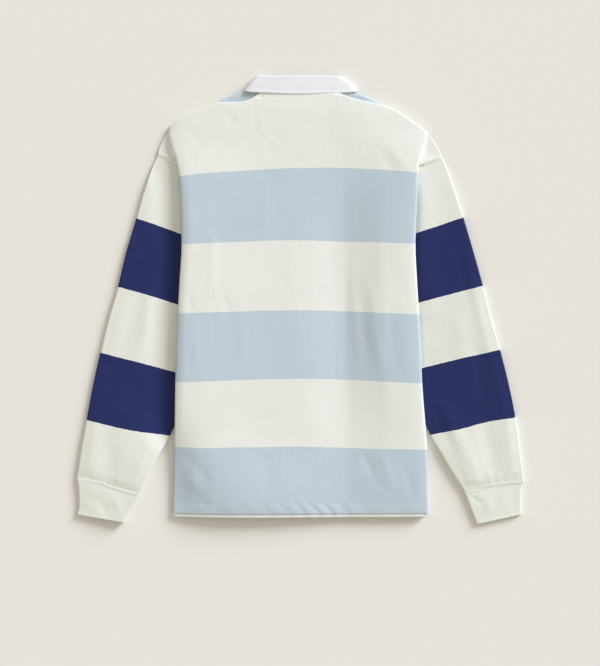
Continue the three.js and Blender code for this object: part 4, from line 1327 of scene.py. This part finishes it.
seams = {
    "half_moon_ridge": ridge(
        "half_moon_ridge", HALF_MOON,
        [(-6.2, 0), (-3.8, 0.19), (-2.4, 0.14), (0, 0.13), (2.4, 0.14), (3.8, 0.19), (6.2, 0)],
        ["back_jersey"], body_jersey, body_uv),
    "neck_tape": ridge(
        "neck_tape", [(-67, 347.4), (-50, 347.2), (0, 346.4), (45, 346.8), (62, 347.4)],
        [(-5.6, 0), (-3.4, 0.18), (0, 0.2), (3, 0.18), (4.2, 0)], ["back_jersey"], body_jersey,
        body_uv)}
for side in ("left", "right"):
    path, profile = ARMHOLES[side]
    seams[side + "_armhole_ridge"] = ridge(
        side + "_armhole_ridge", path, profile, ["back_jersey", side + "_sleeve_jersey"],
        body_jersey, plain_uv, 2.0, bridge=True)
    seams[side + "_cuff_ridge"] = ridge(
        side + "_cuff_ridge", CUFF_SEAMS[side],
        [(-3.2, 0.02), (-1.4, 0.24), (-0.2, 0.1), (1.1, 0.22), (3.2, 0.02)],
        [f"{side}_sleeve_jersey", f"{side}_cuff_rib"], cuff_rib, plain_uv, 2.0, bridge=True)
print("seams:", sorted(seams))

# %% [markdown]
# Thread is dyed near the cloth's colour but catches more light, because it is smooth and round.
# A stitch is a short capsule with its two ends pulled into the cloth. The hem has twin rows, and
# the collar one row along its free edge.

# %% Stitches
def thread(name, colour):
    r = Recipe(name)
    twist = r.wave(r.math("ADD", r.across, r.math("MULTIPLY", r.up, 0.6)), 0.0006)
    fuzz = r.to_range(r.noise(1500.0, 2.0, 0.7), 0.3, 0.7, 0.94, 1.04)
    even = r.ramp(r.noise(12.0, 2.0), [(0.3, colour), (0.7, [min(1, c * 1.04) for c in colour])])
    relief = r.math("ADD", twist, r.noise(900.0, 2.0))
    rough = r.to_range(r.noise(80.0), 0.3, 0.7, 0.6, 0.8)
    return r.finish(r.tint(even, fuzz), rough, relief, 0.00006, 0.1)


def stitches(name, rows, finish, length=2.5, gap=0.9, thick=0.6):
    """Rows of stitches. Each row: points (x, y, z) in mm on the cloth's surface."""
    corners, faces, places = [], [], []
    shape = [(0.0, 0.15, -0.2), (0.14, 0.8, -0.02), (0.5, 1.0, 0.03), (0.86, 0.8, -0.02),
             (1.0, 0.15, -0.2)]
    for row in rows:
        row = np.array(row, float)
        far = np.concatenate([[0], np.linalg.norm(np.diff(row, axis=0), axis=1).cumsum()])
        for k in range(int((far[-1] - length) / (length + gap))):
            begin = k * (length + gap) + 0.35 * math.sin(2.7 * k)
            base = len(corners)
            for share, size, up in shape:
                at_length = begin + share * length
                point = np.array([np.interp(at_length, far, row[:, c]) for c in range(3)])
                ahead = np.array([np.interp(at_length + 1, far, row[:, c]) for c in range(3)])
                way = (ahead - point) / max(np.linalg.norm(ahead - point), 1e-6)
                flat_side = np.cross((0, 0, 1), way)
                flat_side /= max(np.linalg.norm(flat_side), 1e-6)
                for angle in np.radians((0, 60, 120, 180, 240, 300)):
                    spot = point + flat_side * math.cos(angle) * thick / 2 * size
                    spot = spot + np.array((0, 0, 1)) * (math.sin(angle) * thick / 5 * size + up)
                    corners.append((spot - (*CENTRE_SHIFT, 0)) / 1000)
                    places.append((at_length / 1000, (angle + k) * 0.0003))
            for ring in range(len(shape) - 1):
                for c in range(6):
                    a, b = base + ring * 6 + c, base + ring * 6 + (c + 1) % 6
                    faces.append((a, b, b + 6, a + 6))
            last = base + 6 * (len(shape) - 1)
            faces.append(tuple(base + c for c in range(5, -1, -1)))
            faces.append(tuple(last + c for c in range(6)))
    mesh = bpy.data.meshes.new(name)
    mesh.from_pydata([tuple(c) for c in corners], [], faces)
    layer = mesh.uv_layers.new(name="cloth")
    for polygon in mesh.polygons:
        for loop in polygon.loop_indices:
            layer.data[loop].uv = places[mesh.loops[loop].vertex_index]
    mesh.polygons.foreach_set("use_smooth", [True] * len(mesh.polygons))
    mesh.update()
    piece = bpy.data.objects.new(name, mesh)
    scene.collection.objects.link(piece)
    mesh.materials.append(finish)
    print(f"{name}: {len(corners) // (6 * len(shape))} stitches")
    return piece


def on_cloth(path, names, offset=0.0, step=2.0):
    """A row of points along a path, each put down on the named pieces."""
    length = np.linalg.norm(np.diff(np.array(path, float), axis=0), axis=1).sum()
    middle, heading = along(path, np.linspace(0, 1, int(length / step) + 2))
    middle = middle + np.stack([-heading[:, 1], heading[:, 0]], -1) * offset
    heights = [height_at(x, y, names) for x, y in middle]
    return [(x, y, z) for (x, y), z in zip(middle, heights) if z is not None]


HEM_ROWS_UP = (15.7, 9.9)       # height of the twin rows above the back's hem
FROM_COLLAR_EDGE = 7.0          # distance of the collar's row from its free edge
FALL_POINTS = 15                # the last points of each row of the collar's grid are its fall

pale_thread = thread("pale_thread", light_value(236, 240, 240))
cream_thread = thread("cream_thread", light_value(229, 230, 223))
white_thread = thread("white_thread", light_value(244, 245, 244))
hem_line = [(x, curve(HEM, x)) for x in np.linspace(-211, 213, 30)]
hem_rows = [on_cloth([(x, y + up) for x, y in hem_line], ["back_jersey"])
            for up in HEM_ROWS_UP]
sewn = {"hem_stitches": stitches("hem_stitches", hem_rows, pale_thread, thick=0.75)}
cloth_below["half_moon_ridge"] = faces_of(seams["half_moon_ridge"])
moon_rows = [on_cloth(HALF_MOON, ["back_jersey", "half_moon_ridge"], offset)
             for offset in (-2.6, 2.6)]
sewn["half_moon_stitches"] = stitches("half_moon_stitches", moon_rows, cream_thread, thick=0.3)
for side in ("left", "right"):
    names = [f"{side}_sleeve_jersey", f"{side}_cuff_rib"]
    sewn[side + "_cuff_stitches"] = stitches(
        side + "_cuff_stitches",
        [on_cloth(CUFF_SEAMS[side], names, offset) for offset in (-4.4, 4.4)], cream_thread,
        thick=0.35)

edge_row, near = [], []
for station in collar_grid[:, -FALL_POINTS:]:
    from_edge = np.linalg.norm(np.diff(station[::-1], axis=0), axis=1).cumsum()
    k = int(np.searchsorted(from_edge, FROM_COLLAR_EDGE))
    edge_row.append(station[-2 - k])
    near.append(station[-1 - k])
edge_row, near = np.array(edge_row), np.array(near)
sideways = np.gradient(edge_row, axis=0)
normal = np.cross(sideways, near - edge_row)
normal /= np.linalg.norm(normal, axis=1, keepdims=True)
normal *= np.sign(normal[:, 2:3] * (edge_row[:, 2:3] - COLLAR_MIDDLE) + 1e-9)
upward = edge_row[:, 2] > COLLAR_MIDDLE + 2
sewn["collar_edge_stitches"] = stitches(
    "collar_edge_stitches", [(edge_row + normal * 0.8)[upward]], white_thread, length=2.2,
    thick=0.4)

# %% [markdown]
# Each piece takes the place of its CAD solid. The table also lists its slot, what it was cut to
# before it was sewn (all round on the tubes), its area and what it lies on, which nothing reads.

# %% Pieces and their cuts
PIECES = [
    (back_piece, "back_panel", "body_jersey", (0.54, 0.72), 0.361, ["front_panel"]),
    (front_piece, "front_panel", "body_jersey", (0.54, 0.72), 0.345, ["table_top"]),
    (placket_piece, "placket", "placket_twill", (0.0315, 0.175), 0.0054, ["table_top"]),
    (sleeve_pieces["left"], "sleeve_left", "sleeve_jersey", (0.50, 0.62), 0.161, ["table_top"]),
    (sleeve_pieces["right"], "sleeve_right", "sleeve_jersey", (0.50, 0.62), 0.161, ["table_top"]),
    (cuff_pieces["left"], "cuff_left", "cuff_rib", (0.22, 0.058), 0.0103, ["table_top"]),
    (cuff_pieces["right"], "cuff_right", "cuff_rib", (0.22, 0.058), 0.0103, ["table_top"]),
    (collar_piece, "collar", "collar_twill", (0.43, 0.105), 0.026, ["back_panel"])]
ON_PIECE = {                    # sewing that belongs to each sheet
    "back_panel": [seams["half_moon_ridge"], seams["neck_tape"], seams["left_armhole_ridge"],
                   seams["right_armhole_ridge"], sewn["hem_stitches"],
                   sewn["half_moon_stitches"]],
    "cuff_left": [seams["left_cuff_ridge"], sewn["left_cuff_stitches"]],
    "cuff_right": [seams["right_cuff_ridge"], sewn["right_cuff_stitches"]],
    "collar": [sewn["collar_edge_stitches"]]}
for piece, node, slot, flat, area, under in PIECES:
    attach(piece, "root")
    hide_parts(node)
    extra = ON_PIECE.get(node, [])
    for part in extra:
        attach(part, "root")
    print(f"{piece.name} lies in for {node}, with {len(extra)} pieces of sewing")
